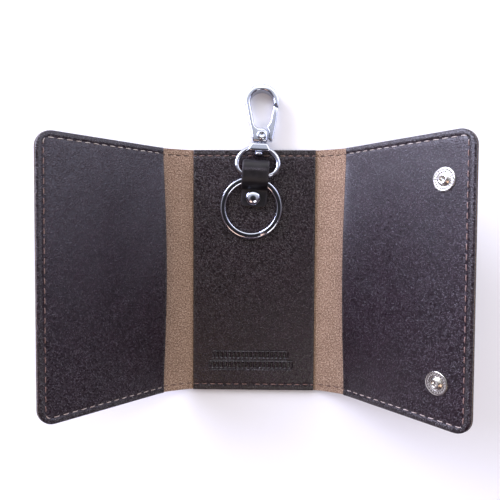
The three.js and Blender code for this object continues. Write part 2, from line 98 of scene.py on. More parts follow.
CORNER = 6.5             # outer corners of the wings
MOUTH = 0.4              # a wing lining starts this far past its crease
BEND = 3.5               # a crease is rounded over this much on either side
SEAM_INSET = 2.7         # from the cut edge to the seam
SEAM_CORNER = 2.0        # radius of the seam's turn at a wing's corner
PITCH = 3.6              # from one stitch to the next
STITCH = 2.5             # what shows of each
THREAD = 0.18            # thread radius
INNER_STITCH = (0.40, 0.24)                    # how far a stitch arches, and its ends sink in,
OUTER_STITCH = (0.26, 0.34)                    # on the case's inside and on its outside
LINED_GROOVE = 0.18      # how deep a seam pulls into a lining,
COVER_GROOVE = 0.12      # into the bare cover,
BACK_GROOVE = 0.16       # and into its outside
SLEEVE = 4.0             # how far past a crease the cover's pieces over the creases reach


def direction(angle):
    return np.array([math.cos(angle), math.sin(angle)])


def rounded_bend(corner, before, after, q):
    """A smooth corner: where q = 0 to 1 lies on it, and which way it runs there."""
    start = corner - BEND * before
    end = corner + BEND * after
    where = (1 - q) ** 2 * start + 2 * q * (1 - q) * corner + q**2 * end
    along = (1 - q) * (corner - start) + q * (end - corner)
    return where, along / np.linalg.norm(along, axis=-1, keepdims=True)


class Side:
    """One half of the case: how its flat pattern folds up from the middle."""

    def __init__(self, name, gape):
        self.name = name
        self.gape = gape
        self.sign = -1 if name == "left" else 1
        self.first = np.abs(joint_place(name + "_spine_crease"))[[0, 2]]
        self.second = np.abs(joint_place(name + "_wing_crease"))[[0, 2]]
        run = self.second - self.first
        self.angle = math.atan2(run[1], run[0])
        self.s1 = self.first[0]
        self.s2 = self.s1 + math.hypot(*run)
        low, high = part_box(name + "_wing_cover")
        reach = max(-low.x, high.x) / MM - self.second[0] - COVER * math.sin(2 * self.angle)
        self.end = self.s2 + reach / math.cos(2 * self.angle)
        self.mouth = self.s2 + MOUTH

    def fold(self, s, y, t):
        """Points of the flat pattern, folded up, in millimetres."""
        s, y, t = np.broadcast_arrays(*(np.asarray(v, float) for v in (s, y, t)))
        column = s[..., None]
        runs = [direction(k * self.angle) for k in range(3)]
        places = []
        for crease, corner, before, after in (
            (self.s1, self.first, runs[0], runs[1]),
            (self.s2, self.second, runs[1], runs[2]),
        ):
            q = np.clip((column - crease + BEND) / (2 * BEND), 0, 1)
            where, along = rounded_bend(corner, before, after, q)
            beyond = column - np.clip(column, crease - BEND, crease + BEND)
            places.append((where + along * beyond, along))
        inner = column < (self.s1 + self.s2) / 2
        where = np.where(inner, places[0][0], places[1][0])
        along = np.where(inner, places[0][1], places[1][1])
        x = where[..., 0] - t * along[..., 1]
        z = where[..., 1] + t * along[..., 0]
        return np.stack([self.sign * x, y, z], axis=-1)

    def crease_range(self, which):
        crease = self.s1 if which == "spine" else self.s2
        ends = self.fold([crease - BEND, crease + BEND], 0, 0) * MM
        return Vector(ends[0]), Vector(ends[1])


GAPE = {"left": 3.0, "right": 2.2}          # how far each pocket's mouth stands open
SIDES = {name: Side(name, gape) for name, gape in GAPE.items()}

# ---- mesh helpers


def link_object(name, data):
    made = bpy.data.objects.new(name, data)
    bpy.context.scene.collection.objects.link(made)
    return made


def new_object(name, points, faces, materials, face_slots=None, sharp=50, attributes=None):
    """A mesh piece from points in millimetres, smooth except at edges sharper than `sharp` degrees."""
    mesh = bpy.data.meshes.new(name)
    mesh.from_pydata((np.asarray(points) * MM).tolist(), [], [list(f) for f in faces])
    for material in materials:
        mesh.materials.append(material)
    if face_slots is not None:
        mesh.polygons.foreach_set("material_index", np.asarray(face_slots, np.int32))
    for label, values in (attributes or {}).items():
        kind = "FLOAT_VECTOR" if values.ndim == 2 else "FLOAT"
        key = "vector" if values.ndim == 2 else "value"
        layer = mesh.attributes.new(label, kind, "POINT")
        layer.data.foreach_set(key, np.ascontiguousarray(values, np.float32).ravel())
    work = bmesh.new()
    work.from_mesh(mesh)
    bmesh.ops.recalc_face_normals(work, faces=work.faces)
    work.to_mesh(mesh)
    work.free()
    mesh.polygons.foreach_set("use_smooth", np.ones(len(mesh.polygons), bool))
    mesh.set_sharp_from_angle(angle=math.radians(sharp))
    return link_object(name, mesh)


def grid_faces(rows, columns, wrap=False):
    """Quads over a grid of points, with the columns joined into a ring if wrap is set."""
    r = np.arange(rows - 1)[:, None]
    c = np.arange(columns if wrap else columns - 1)[None, :]
    nxt = (c + 1) % columns
    quads = np.stack([r * columns + c, r * columns + nxt, (r + 1) * columns + nxt, (r + 1) * columns + c], -1)
    return quads.reshape(-1, 4)


def rim_indices(rows, columns):
    """The points round the rim of a grid, in order."""
    index = np.arange(rows * columns).reshape(rows, columns)
    return np.concatenate([index[0, :-1], index[:-1, -1], index[-1, :0:-1], index[:0:-1, 0]])


def sheet_solid(name, top, bottom, materials, flat, shift, edge, pressed=None):
    """A closed sheet between two grids of points. materials are for top, bottom and rim. flat is the
    pattern's places on top, which lie `shift` further on below, and edge the distance from the cut edge."""
    rows, columns = top.shape[:2]
    count = rows * columns
    faces = grid_faces(rows, columns)
    rim = rim_indices(rows, columns)
    ahead = np.roll(rim, -1)
    walls = np.stack([rim, ahead, ahead + count, rim + count], -1)
    every = np.concatenate([faces, faces + count, walls])
    slots = np.repeat([0, 1, 2], [len(faces), len(faces), len(walls)])
    points = np.concatenate([top.reshape(-1, 3), bottom.reshape(-1, 3)])
    places = np.concatenate([flat.reshape(-1, 3), (flat + np.array(shift)).reshape(-1, 3)])
    edges = np.concatenate([edge.ravel(), edge.ravel()])
    marks = {"flat": places, "edge": edges}
    if pressed is not None:
        marks["pressed"] = np.concatenate([pressed.ravel(), 0 * pressed.ravel()])
    return new_object(name, points, every, materials, slots, attributes=marks)


def ring_solid(rings, closed=False):
    """Points and faces of a tube through rings of points (rings, points, 3), its ends capped by fans."""
    count, around = rings.shape[:2]
    last = (count - 1) * around
    points = rings.reshape(-1, 3)
    faces = [tuple(f) for f in grid_faces(count, around, wrap=True)]
    if closed:
        faces += [(last + i, last + (i + 1) % around, (i + 1) % around, i) for i in range(around)]
        return points, faces
    tips = np.stack([rings[0].mean(0), rings[-1].mean(0)])
    faces += [(i, (i + 1) % around, len(points)) for i in range(around)]
    faces += [(last + (i + 1) % around, last + i, len(points) + 1) for i in range(around)]
    return np.concatenate([points, tips]), faces


def sweep(path, section, closed=False):
    """Rings of a section, [across, up] pairs, carried along a path of points. Up is along Z."""
    path = np.asarray(path, float)
    if closed:
        along = np.roll(path, -1, 0) - np.roll(path, 1, 0)
    else:
        along = np.gradient(path, axis=0)
    along /= np.linalg.norm(along, axis=1, keepdims=True)
    across = np.cross(along, np.array([0.0, 0.0, 1.0]))
    across /= np.linalg.norm(across, axis=1, keepdims=True)
    rise = np.cross(across, along)
    section = np.asarray(section, float)
    return path[:, None] + across[:, None] * section[:, :1] + rise[:, None] * section[:, 1:]


def run_lengths(points):
    """How far along a line each of its points lies."""
    return np.concatenate([[0], np.cumsum(np.hypot(*np.diff(points, axis=0).T))])


def circle(radius, count):
    """A round section, as [across, up] pairs."""
    angles = np.arange(count) * 2 * math.pi / count
    return radius * np.stack([np.cos(angles), np.sin(angles)], -1)


def attach(piece, body, node=None):
    """Fixes a piece to its body, and hides the CAD node that it stands for."""
    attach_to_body(piece, body)
    if node:
        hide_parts(node)


def place_points(points, matrix):
    points = np.asarray(points, float)
    m = np.array(matrix)
    return points @ m[:3, :3].T + m[:3, 3]


def lathe(name, profile, matrix, material, segments=64, dent=None):
    """A piece turned about its own Z from [radius, z] pairs, which end on the axis or close up.
    dent(radius, angle, z) moves points up or down."""
    profile = np.asarray(profile, float)
    closed = np.allclose(profile[0], profile[-1])
    if closed:
        profile = profile[:-1]
    angles = np.arange(segments) * 2 * math.pi / segments
    r = np.maximum(profile[:, :1], 1e-4)
    z = np.broadcast_to(profile[:, 1:], (len(profile), segments)).copy()
    if dent:
        z += dent(r, angles, z)
    rings = np.stack([r * np.cos(angles), r * np.sin(angles), z], -1)
    points, faces = ring_solid(rings, closed)
    return new_object(name, place_points(points, matrix), faces, [material], sharp=40)


def wire_piece(name, path, section, matrix, material, closed=False):
    """A piece of wire along a path."""
    points, faces = ring_solid(sweep(path, section, closed), closed)
    return new_object(name, place_points(points, matrix), faces, [material])


def arc(cx, cy, radius, start, end, steps):
    """Points on an arc, angles in degrees, both ends included."""
    angles = np.radians(np.linspace(start, end, steps + 1))
    return [(cx + radius * math.cos(a), cy + radius * math.sin(a)) for a in angles]


PLATE_SHARP = 35         # a plate's edges are kept sharp from this many degrees


def plate(name, outline, thick, bevel, matrix, steps=5):
    """A flat chromed piece with well rounded edges."""
    curve = bpy.data.curves.new(name + "_outline", "CURVE")
    curve.dimensions = "2D"
    curve.fill_mode = "BOTH"
    curve.extrude = thick / 2 - bevel
    curve.bevel_depth = bevel
    curve.bevel_resolution = steps
    curve.offset = -bevel
    spline = curve.splines.new("POLY")
    spline.points.add(len(outline) - 1)
    for point, (x, y) in zip(spline.points, outline):
        point.co = (x, y, 0, 1)
    spline.use_cyclic_u = True
    helper = link_object(name + "_helper", curve)
    graph = bpy.context.evaluated_depsgraph_get()
    mesh = bpy.data.meshes.new_from_object(helper.evaluated_get(graph))
    bpy.data.objects.remove(helper)
    work = bmesh.new()
    work.from_mesh(mesh)
    bmesh.ops.remove_doubles(work, verts=work.verts, dist=0.004)
    points = np.array([v.co for v in work.verts])
    faces = [[v.index for v in f.verts] for f in work.faces]
    work.free()
    return new_object(name, place_points(points, matrix), faces, [CHROME], sharp=PLATE_SHARP)


# ---- materials


class Nodes:
    """A small wrapper to build a node tree line by line."""

    def __init__(self, tree):
        self.tree = tree

    def node(self, kind, inputs=None, **settings):
        made = self.tree.nodes.new("ShaderNode" + kind)
        for key, value in settings.items():
            setattr(made, key, value)
        for key, value in (inputs or {}).items():
            self.feed(made.inputs[key], value)
        return made

    def feed(self, socket, value):
        if isinstance(value, bpy.types.NodeSocket):
            self.tree.links.new(value, socket)
        else:
            socket.default_value = value

    def noise(self, vector, scale, detail=2.0, rough=0.5):
        inputs = {"Vector": vector, "Scale": scale, "Detail": detail, "Roughness": rough}
        return self.node("TexNoise", inputs).outputs["Fac"]

    def ramp(self, value, low, high, out_low=0.0, out_high=1.0):
        inputs = {"Value": value, "From Min": low, "From Max": high, "To Min": out_low, "To Max": out_high}
        return self.node("MapRange", inputs, interpolation_type="SMOOTHSTEP").outputs["Result"]

    def math(self, operation, first, second):
        return self.node("Math", {0: first, 1: second}, operation=operation).outputs[0]

    def times(self, first, second):
        return self.math("MULTIPLY", first, second)

    def mix(self, share, first, second):
        made = self.node("Mix", {0: share}, data_type="RGBA")
        self.feed(made.inputs[6], first)
        self.feed(made.inputs[7], second)
        return made.outputs[2]

    def bump(self, height, strength, distance):
        inputs = {"Height": height, "Strength": strength, "Distance": distance}
        return self.node("Bump", inputs).outputs["Normal"]


class Shader(Nodes):
    """A material: its node tree, and the surface at the end of it."""

    def __init__(self, name, **settings):
        self.material = bpy.data.materials.new(name)
        self.material.use_nodes = True
        super().__init__(self.material.node_tree)
        self.surface = self.tree.nodes["Principled BSDF"]
        self.set(**settings)

    def place(self, label="flat"):
        return self.node("Attribute", attribute_name=label).outputs["Vector"]

    def set(self, **values):
        for key, value in values.items():
            self.feed(self.surface.inputs[key.replace("_", " ")], value)
        return self.material


def colour(red, green, blue):
    """An sRGB colour, 0 to 255, as Blender's linear numbers."""
    made = []
    for value in (red, green, blue):
        c = value / 255
        made.append(c / 12.92 if c <= 0.04045 else ((c + 0.055) / 1.055) ** 2.4)
    return (*made, 1.0)


GRAIN_SCALE = 1.9        # pebbles to a millimetre
GRAIN_RELIEF = 0.08      # height of the pebbles


def grain_leather(name, dark, light, rim, roughness):
    """Pebbled leather: small rounded cells, with painted shade in the creases between them and painted
    glints on some pebble tops, a mottled tone, a painted highlight on the rounded margin near the cut
    edges, and darker where it is pressed in."""
    s = Shader(name)
    place = s.place()
    cells = s.node("TexVoronoi", {"Vector": place, "Scale": GRAIN_SCALE}, feature="F1")
    pebble = s.ramp(cells.outputs["Distance"], 0.62, 0.12)
    # some pebble tops, picked by cell: they get a higher specular level and painted glints
    polish_and_glint = s.times(s.ramp(cells.outputs["Color"], 0.38, 0.72), pebble)
    fine = s.noise(place, 3.0, 2.0, 0.6)
    tone = s.noise(place, 0.09, 4.0, 0.6)
    # patches in which the painted glints on the pebble tops are stronger
    glint_spread = s.ramp(s.noise(place, 1.4, 3.0, 0.7), 0.42, 0.70)
    # the margin, 0.5 to 2.3 mm in from the cut edge, which gets a painted highlight
    edge = s.times(s.ramp(s.place("edge"), 2.3, 1.5), s.ramp(s.place("edge"), 0.5, 1.1))
    pressed = s.place("pressed")
    base = s.mix(s.ramp(tone, 0.3, 0.7), dark, light)
    # painted glints: pebble tops lightened towards the rim colour, standing in for their sparkle of light
    base = s.mix(s.times(s.math("ADD", glint_spread, 0.4), s.times(polish_and_glint, 0.22)), base, rim)
    # painted highlight on the rounded margin outside the seam, where it catches the light
    base = s.mix(s.times(edge, 0.3), base, colour(78, 78, 74))
    # painted shade in the creases between the pebbles
    base = s.mix(s.ramp(pebble, 0.45, 0.0, 0.0, 0.6), base, colour(12, 9, 10))
    base = s.mix(s.times(pressed, 0.95), base, colour(9, 5, 7))
    height = s.math("ADD", pebble, s.times(fine, 0.45))
    height = s.times(height, s.math("SUBTRACT", 1.0, s.times(pressed, 0.7)))
    gloss = s.ramp(s.noise(place, 1.2, 3.0), 0.3, 0.7, roughness - 0.07, roughness + 0.07)
    shine = s.ramp(polish_and_glint, 0.0, 1.0, 0.5, 1.2)
    bumped = s.bump(height, 1.0, GRAIN_RELIEF * MM)
    return s.set(Base_Color=base, Roughness=gloss, Specular_IOR_Level=shine, Normal=bumped)


def suede_leather(name):
    """The cover's flesh side: short nap, mottled tan, with darker pits and a few pale fibres."""
    s = Shader(name, Specular_IOR_Level=0.12, Sheen_Weight=0.25, Sheen_Roughness=0.5)
    place = s.place()
    coarse = s.noise(place, 0.13, 3.0, 0.6)
    nap = s.noise(place, 1.6, 4.0, 0.9)
    pits = s.noise(place, 2.6, 2.0, 0.6)
    base = s.mix(s.ramp(coarse, 0.3, 0.7), colour(146, 119, 98), colour(160, 132, 110))
    base = s.mix(s.ramp(nap, 0.49, 0.38, 0.0, 0.95), base, colour(80, 58, 46))
    base = s.mix(s.ramp(nap, 0.52, 0.62, 0.0, 0.95), base, colour(226, 202, 178))
    base = s.mix(s.ramp(pits, 0.40, 0.30, 0.0, 0.8), base, colour(60, 42, 34))
    height = s.math("ADD", nap, s.times(pits, 0.5))
    return s.set(Base_Color=base, Roughness=0.95, Normal=s.bump(height, 1.0, 0.0003))


def edge_paint(name):
    """The dyed and burnished cut edge, with the two leathers' fibres just showing."""
    s = Shader(name, Specular_IOR_Level=0.4)
    place = s.place()
    streak = s.noise(place, 1.4, 3.0, 0.7)
    base = s.mix(s.ramp(streak, 0.35, 0.7), colour(22, 18, 18), colour(38, 33, 32))
    gloss = s.ramp(streak, 0.3, 0.7, 0.42, 0.6)
    return s.set(Base_Color=base, Roughness=gloss, Normal=s.bump(streak, 0.5, 0.0001))


def strap_leather(name):
    """Smooth, firm black leather, finely pored, and crazed where it is bent over the bar."""
    s = Shader(name, Specular_IOR_Level=0.34)
    place = s.place()
    tone = s.noise(place, 0.3, 3.0)
    pores = s.noise(place, 2.6, 3.0, 0.65)
    cells = s.node("TexVoronoi", {"Vector": place, "Scale": 2.1}, feature="DISTANCE_TO_EDGE")
    crazing = cells.outputs["Distance"]
    bent = s.place("pressed")
    cracks = s.times(s.ramp(crazing, 0.14, 0.0), bent)
    near = s.ramp(s.place("edge"), 1.0, 0.2)
    base = s.mix(s.ramp(tone, 0.35, 0.7), colour(20, 18, 20), colour(29, 26, 29))
    base = s.mix(s.times(near, 0.35), base, colour(62, 57, 60))
    base = s.mix(s.times(cracks, 0.5), base, colour(100, 92, 96))
    height = s.math("SUBTRACT", s.times(pores, 0.6), s.times(cracks, 1.2))
    gloss = s.ramp(tone, 0.3, 0.7, 0.34, 0.44)
    return s.set(Base_Color=base, Roughness=gloss, Normal=s.bump(height, 0.6, 0.00008))


def thread_material(name, main, shade, painted_shade):
    """Waxed thread: strands twisted along each stitch, with painted shade along the wings' outer edges
    and a little towards the bottom, where the stitches catch less of the light."""
    s = Shader(name, Specular_IOR_Level=0.3, Sheen_Weight=0.2)
    place = s.node("TexCoord").outputs["Object"]
    strands = s.noise(place, 2600.0, 2.0, 0.6)
    tone = s.noise(place, 120.0, 2.0)
    base = s.mix(s.ramp(strands, 0.35, 0.65), shade, main)
    base = s.mix(s.ramp(tone, 0.4, 0.75, 0.0, 0.4), base, shade)
    height = s.node("SeparateXYZ", {"Vector": place}).outputs["Y"]
    from_middle = s.math("ABSOLUTE", height, 0.0)
    # painted shade along the wings' outer edges, away from the top and bottom seams that catch the light
    base = s.mix(s.ramp(from_middle, (HALF - 3.5) * MM, (HALF - 5.5) * MM, 0.0, 0.8), base, painted_shade)
    # and a little painted shade towards the bottom
    base = s.mix(s.ramp(height, 0.0, -0.5 * HALF * MM, 0.0, 0.4), base, painted_shade)
    return s.set(Base_Color=base, Roughness=0.75, Normal=s.bump(strands, 0.6, 0.00008))


def plated_metal(name, tint, dull, roughness):
    """Polished plating with hair scratches, faint smears and dulling in patches."""
    s = Shader(name, Metallic=1.0)
    place = s.node("TexCoord").outputs["Object"]
    smear = s.noise(place, 260.0, 3.0, 0.6)
    stretched = s.node("Mapping", {"Vector": place, "Scale": (300.0, 2600.0, 900.0)}).outputs["Vector"]
    scratch = s.noise(stretched, 1.0, 2.0, 0.5)
    base = s.mix(s.ramp(smear, 0.35, 0.75, 0.0, 0.6), tint, dull)
    gloss = s.ramp(smear, 0.3, 0.75, roughness, roughness + 0.1)
    height = s.math("ADD", scratch, s.times(smear, 0.4))
    return s.set(Base_Color=base, Roughness=gloss, Normal=s.bump(height, 0.12, 0.00002))


# each leather's third colour, rim, is the colour of its painted glints on the pebble tops
INSIDE = grain_leather("lining_grain", colour(26, 7, 19), colour(34, 12, 26), colour(88, 76, 92), 0.30)
OUTSIDE = grain_leather("cover_grain", colour(26, 16, 20), colour(35, 23, 27), colour(76, 68, 70), 0.38)
SUEDE = suede_leather("suede")
EDGE = edge_paint("painted_edge")
STRAP_BLACK = strap_leather("strap_black")
COVER_LOOKS = [SUEDE, OUTSIDE, EDGE]        # top, bottom and rim
LINING_LOOKS = [INSIDE, SUEDE, EDGE]
# painted shade for stitches along the wings' outer edges and towards the bottom
STITCH_SHADE = colour(126, 92, 84)
PALE_THREAD = thread_material("pale_thread", colour(232, 228, 220), colour(168, 152, 142), STITCH_SHADE)
# brown and dark thread are dimmer copies of the pale thread, as painted shade: for the centre's stitches, and
# for those sunk into the suede over the spines
BROWN_THREAD = thread_material("brown_thread", colour(164, 136, 124), colour(100, 76, 68), STITCH_SHADE)
SHADED_THREAD = thread_material("shaded_thread", colour(70, 52, 46), colour(38, 28, 26), STITCH_SHADE)
CHROME = plated_metal("chrome", colour(190, 194, 205), colour(168, 173, 188), 0.06)
NICKEL = plated_metal("nickel", colour(210, 207, 198), colour(186, 182, 171), 0.2)
STEEL = plated_metal("spring_steel", colour(176, 176, 178), colour(150, 150, 152), 0.22)

# ---- leather surfaces

EDGE_STEPS = [0, 0.05, 0.14, 0.28, 0.45, 0.75, 1.2, 1.7]       # in from a cut edge,
EDGE_STEPS += [2.05, 2.3, 2.5, 2.7, 2.9, 3.1, 3.35]            # over the seam,
EDGE_STEPS += [3.8, 4.5, 5.4, CORNER]                          # and past it


def grid_lines(low, high, step, fine_low=False, fine_high=False):
    """Places from low to high, close together where there is a cut edge and a seam."""
    start = [low + e for e in EDGE_STEPS] if fine_low else [low]
    finish = [high - e for e in reversed(EDGE_STEPS)] if fine_high else [high]
    count = max(2, int(math.ceil((finish[0] - start[-1]) / step)) + 1)
    middle = np.linspace(start[-1], finish[0], count)[1:-1]
    return np.array([*start, *middle, *finish])


def round_corner(s, y, end):
    """Pulls a square grid's outer corners in to the wing's rounded outline, ring by ring."""
    a = end - s
    b = HALF - np.abs(y)
    inset = np.minimum(a, b)
    radius = np.maximum(CORNER - inset, 1e-6)
    turn = np.where(a <= b, CORNER - b, CORNER - a) / (2 * radius) * math.pi / 2
    near = CORNER - radius * np.cos(turn)
    far = CORNER - radius * np.sin(turn)
    inside = (a < CORNER) & (b < CORNER)
    new_a = np.where(inside, np.where(a <= b, near, far), a)
    new_b = np.where(inside, np.where(a <= b, far, near), b)
    return end - new_a, np.sign(y) * (HALF - new_b)


def outline_distance(s, y, end, inset, corner):
    """Distance from a rounded outline, `inset` inside the wing's edge: negative inside it."""
    qx = s - (end - inset - corner)
    qy = np.abs(y) - (HALF - inset - corner)
    outside = np.hypot(np.maximum(qx, 0), np.maximum(qy, 0))
    return outside + np.minimum(np.maximum(qx, qy), 0) - corner


def edge_drop(distance, radius):
    """How much a burnished edge falls away, `distance` in from the cut."""
    into = np.clip(radius - distance, 0, radius)
    return radius - np.sqrt(np.maximum(radius**2 - into**2, 0))


def ripple(s, y, seed, size=0.1):
    """A slow, uneven swell, as in leather that has been handled."""
    phase = np.random.default_rng(seed).uniform(0, 2 * math.pi, 8)
    swell = np.zeros(np.broadcast(s, y).shape)
    waves = ((0.11, 0.05), (-0.07, 0.12), (0.21, -0.17), (0.05, 0.27), (0.33, 0.22), (-0.29, 0.31))
    for k, (fs, fy) in enumerate(waves):
        swell = swell + np.sin(fs * s + fy * y + phase[k]) / (1 + k / 2)
    return size * swell / 2.5


def seam_groove(s, y, end, depth):
    """The trough that a seam pulls into the leather, puckered once for each stitch."""
    away = outline_distance(s, y, end, SEAM_INSET, SEAM_CORNER)
    pucker = 1 + 0.25 * np.cos(2 * math.pi * (s + np.abs(y)) / PITCH)
    return depth * pucker * np.exp(-((away / 0.55) ** 2))


PRESS_ROWS = ((-38.1, 34.0), (-42.6, 38.0))    # the pressed ornament's rows: where, and how long
PRESS_PITCH = 1.9        # from one bar to the next
PRESS_TALL = 2.9         # length of a bar
PRESS_DEPTH = 0.42
PRESS_X = -1.2           # the rows' middle
PRESS_STEP = 0.24        # how fine the mesh is there,
PRESS_REACH = 20.0       # this far to either side of the middle
PRESS_BAND = (-45.2, -35.4)                    # and from here to here along y


def pressed_border(x, y):
    """Depth of two rows of plain upright bars, with thin ruled lines above and below each row."""
    depth = np.zeros(np.broadcast(x, y).shape)
    for row, long in PRESS_ROWS:
        along = (x - PRESS_X) / PRESS_PITCH
        offset = np.abs(along - np.round(along)) * PRESS_PITCH
        bar = np.clip((0.62 - offset) / 0.25, 0, 1) * np.clip((PRESS_TALL / 2 - np.abs(y - row)) / 0.25, 0, 1)
        rule = np.clip(1 - np.abs(np.abs(y - row) - 1.95) / 0.3, 0, 1) * 0.6
        reach = np.clip((long / 2 - np.abs(x - PRESS_X)) / 0.3, 0, 1)
        depth = np.maximum(depth, np.maximum(bar, rule) * reach)
    return depth


def flat_places(sign, s, y):
    return np.stack([sign * s, y, 0 * s], -1)


# ---- leather pieces


def cover_heights(s, y, end, edge):
    """Heights of the cover's inner and outer faces, with their seam troughs and rounded cut edges."""
    inner = -seam_groove(s, y, end, COVER_GROOVE) - edge_drop(edge, 0.1)
    outer = -COVER + seam_groove(s, y, end, BACK_GROOVE) + edge_drop(edge, 0.62)
    return inner, outer


def cover_piece(name, side, s_low, s_high, step, outer=False):
    """A stretch of the cover: suede inside, grain outside, painted along the cut edges."""
    s_lines = grid_lines(s_low, s_high, step, fine_high=outer)
    y_lines = grid_lines(-HALF, HALF, 1.6, True, True)
    s, y = np.meshgrid(s_lines, y_lines, indexing="ij")
    end = side.end
    if outer:
        s, y = round_corner(s, y, end)
    edge = -outline_distance(s, y, end, 0, CORNER)
    inner_t, outer_t = cover_heights(s, y, end, edge)
    top = side.fold(s, y, inner_t)
    bottom = side.fold(s, y, outer_t)
    flat = flat_places(side.sign, s, y)
    return sheet_solid(name, top, bottom, COVER_LOOKS, flat, (side.sign * 200.0, 0, 0), edge)


def centre_cover():
    """The cover's middle, from the piece over one crease to the piece over the other."""
    left, right = SIDES["left"], SIDES["right"]
    x_lines = grid_lines(SLEEVE - left.s1, right.s1 - SLEEVE, 2.0)
    y_lines = grid_lines(-HALF, HALF, 1.6, True, True)
    x, y = np.meshgrid(x_lines, y_lines, indexing="ij")
    edge = HALF - np.abs(y)
    inner_t, outer_t = cover_heights(0 * x, y, right.end, edge)
    top = np.stack([x, y, COVER + inner_t], -1)
    bottom = np.stack([x, y, COVER + outer_t], -1)
    flat = flat_places(1, x, y)
    piece = sheet_solid("centre_cover_leather", top, bottom, COVER_LOOKS, flat, (200.0, 0, 0), edge)
    attach(piece, "centre_panel", "centre_cover")


def side_cover(side):
    """The rest of the cover on one side: a piece over each crease, and the wing."""
    middle = (side.s1 + side.s2) / 2
    panel, spine, wing = "centre_panel", side.name + "_spine_fold", side.name + "_wing"
    inner = cover_piece(side.name + "_inner_bend", side, side.s1 - SLEEVE, middle, 0.45)
    outer = cover_piece(side.name + "_outer_bend", side, middle, side.s2 + SLEEVE, 0.45)
    for piece, bodies, crease in ((inner, (panel, spine), "spine"), (outer, (spine, wing), "wing")):
        side.crease_range(crease)
        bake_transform(piece)
        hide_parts(side.name + "_spine")
    leaf = cover_piece(side.name + "_wing_leather", side, side.s2 + SLEEVE, side.end, 1.6, outer=True)
    attach(leaf, wing, side.name + "_wing_cover")


def mouth_gape(side, s, y):
    """How far a pocket's free edge stands off the cover: most at mid height, none at the seams."""
    reach = 24.0
    across = np.clip(1 - (y / (HALF - 5)) ** 2, 0, 1) ** 1.3
    return side.gape * across * np.clip(1 - (s - side.mouth) / reach, 0, 1) ** 1.8


def wing_lining(side):
    """A wing's lining: sewn round three sides, with its free edge standing a little open."""
    s_lines = grid_lines(side.mouth, side.end, 1.1, fine_high=True)
    first = side.mouth + np.array([0, 0.08, 0.2, 0.4, 0.7])
    s_lines = np.concatenate([first, s_lines[s_lines > side.mouth + 1]])
    y_lines = grid_lines(-HALF, HALF, 1.1, True, True)
    s, y = np.meshgrid(s_lines, y_lines, indexing="ij")
    s, y = round_corner(s, y, side.end)
    rim = -outline_distance(s, y, side.end, 0, CORNER)
    free = s - side.mouth
    lift = mouth_gape(side, s, y)
    swell = ripple(s, y, 3 + side.sign) * np.clip((rim - SEAM_INSET) / 6, 0, 1)
    crown = 0.12 * np.exp(-(((rim - 1.4) / 0.8) ** 2))
    upper = LINING_TOP + lift + swell + crown - seam_groove(s, y, side.end, LINED_GROOVE)
    upper = upper - edge_drop(rim, 0.55) - edge_drop(free, 0.3)
    lower = 0.02 + lift + edge_drop(rim, 0.1) + edge_drop(free, 0.3)
    edge = np.minimum(rim, free + 1.0)
    top = side.fold(s, y, upper)
    bottom = side.fold(s, y, lower)
    flat = flat_places(side.sign, s, y)
    shift = (side.sign * 300.0, 0, 0)
    piece = sheet_solid(side.name + "_lining_leather", top, bottom, LINING_LOOKS, flat, shift, edge)
    attach(piece, side.name + "_wing", side.name + "_wing_lining")


def centre_lining():
    """The centre lining, sewn at top and bottom, with the pressed ornament near its lower edge."""
    fine_x = np.arange(PRESS_X - PRESS_REACH, PRESS_X + PRESS_REACH + 0.01, PRESS_STEP)
    free_steps = np.array([0, 0.08, 0.2, 0.4, 0.8])
    outer_low = np.linspace(-CENTRE_EDGE + 1.6, fine_x[0], 7)[:-1]
    outer_high = np.linspace(fine_x[-1], CENTRE_EDGE - 1.6, 7)[1:]
    x_lines = np.concatenate([free_steps - CENTRE_EDGE, outer_low, fine_x, outer_high,
                              (CENTRE_EDGE - free_steps)[::-1]])
    fine_y = np.arange(*PRESS_BAND, PRESS_STEP)
    y_lines = grid_lines(-HALF, HALF, 1.3, True, True)
    clear = (y_lines < fine_y[0] - 0.2) | (y_lines > fine_y[-1] + 0.2)
    y_lines = np.sort(np.concatenate([y_lines[clear], fine_y]))
    x, y = np.meshgrid(x_lines, y_lines, indexing="ij")
    rim = HALF - np.abs(y)
    free = CENTRE_EDGE - np.abs(x)
    swell = ripple(x, y, 9, 0.05) * np.clip((rim - SEAM_INSET) / 6, 0, 1) * np.clip(free / 5, 0, 1)
    pressed = pressed_border(x, y)
    trough = seam_groove(0 * x, y, SIDES["right"].end, LINED_GROOVE)
    upper = LINING_TOP + swell - trough - PRESS_DEPTH * pressed
    upper = upper - edge_drop(rim, 0.55) - edge_drop(free, 0.3)
    lower = 0.02 + edge_drop(free, 0.3) + edge_drop(rim, 0.1)
    edge = np.minimum(rim, free + 1.0)
    top = np.stack([x, y, COVER + upper], -1)
    bottom = np.stack([x, y, COVER + lower], -1)
    flat = flat_places(1, x, y)
    shift = (300.0, 0, 0)
    piece = sheet_solid("centre_lining_leather", top, bottom, LINING_LOOKS, flat, shift, edge, pressed)
    attach(piece, "centre_panel", "centre_lining")


# ---- seams


def seam_path(side):
    """The seam line in the flat pattern, from the middle of the top edge round to that of the bottom."""
    y = HALF - SEAM_INSET
    cx = side.end - SEAM_INSET - SEAM_CORNER
    cy = y - SEAM_CORNER
    points = [(0.0, y), *arc(cx, cy, SEAM_CORNER, 90, 0, 6), *arc(cx, -cy, SEAM_CORNER, 0, -90, 6), (0.0, -y)]
    points = np.array(points)
    return points, run_lengths(points)


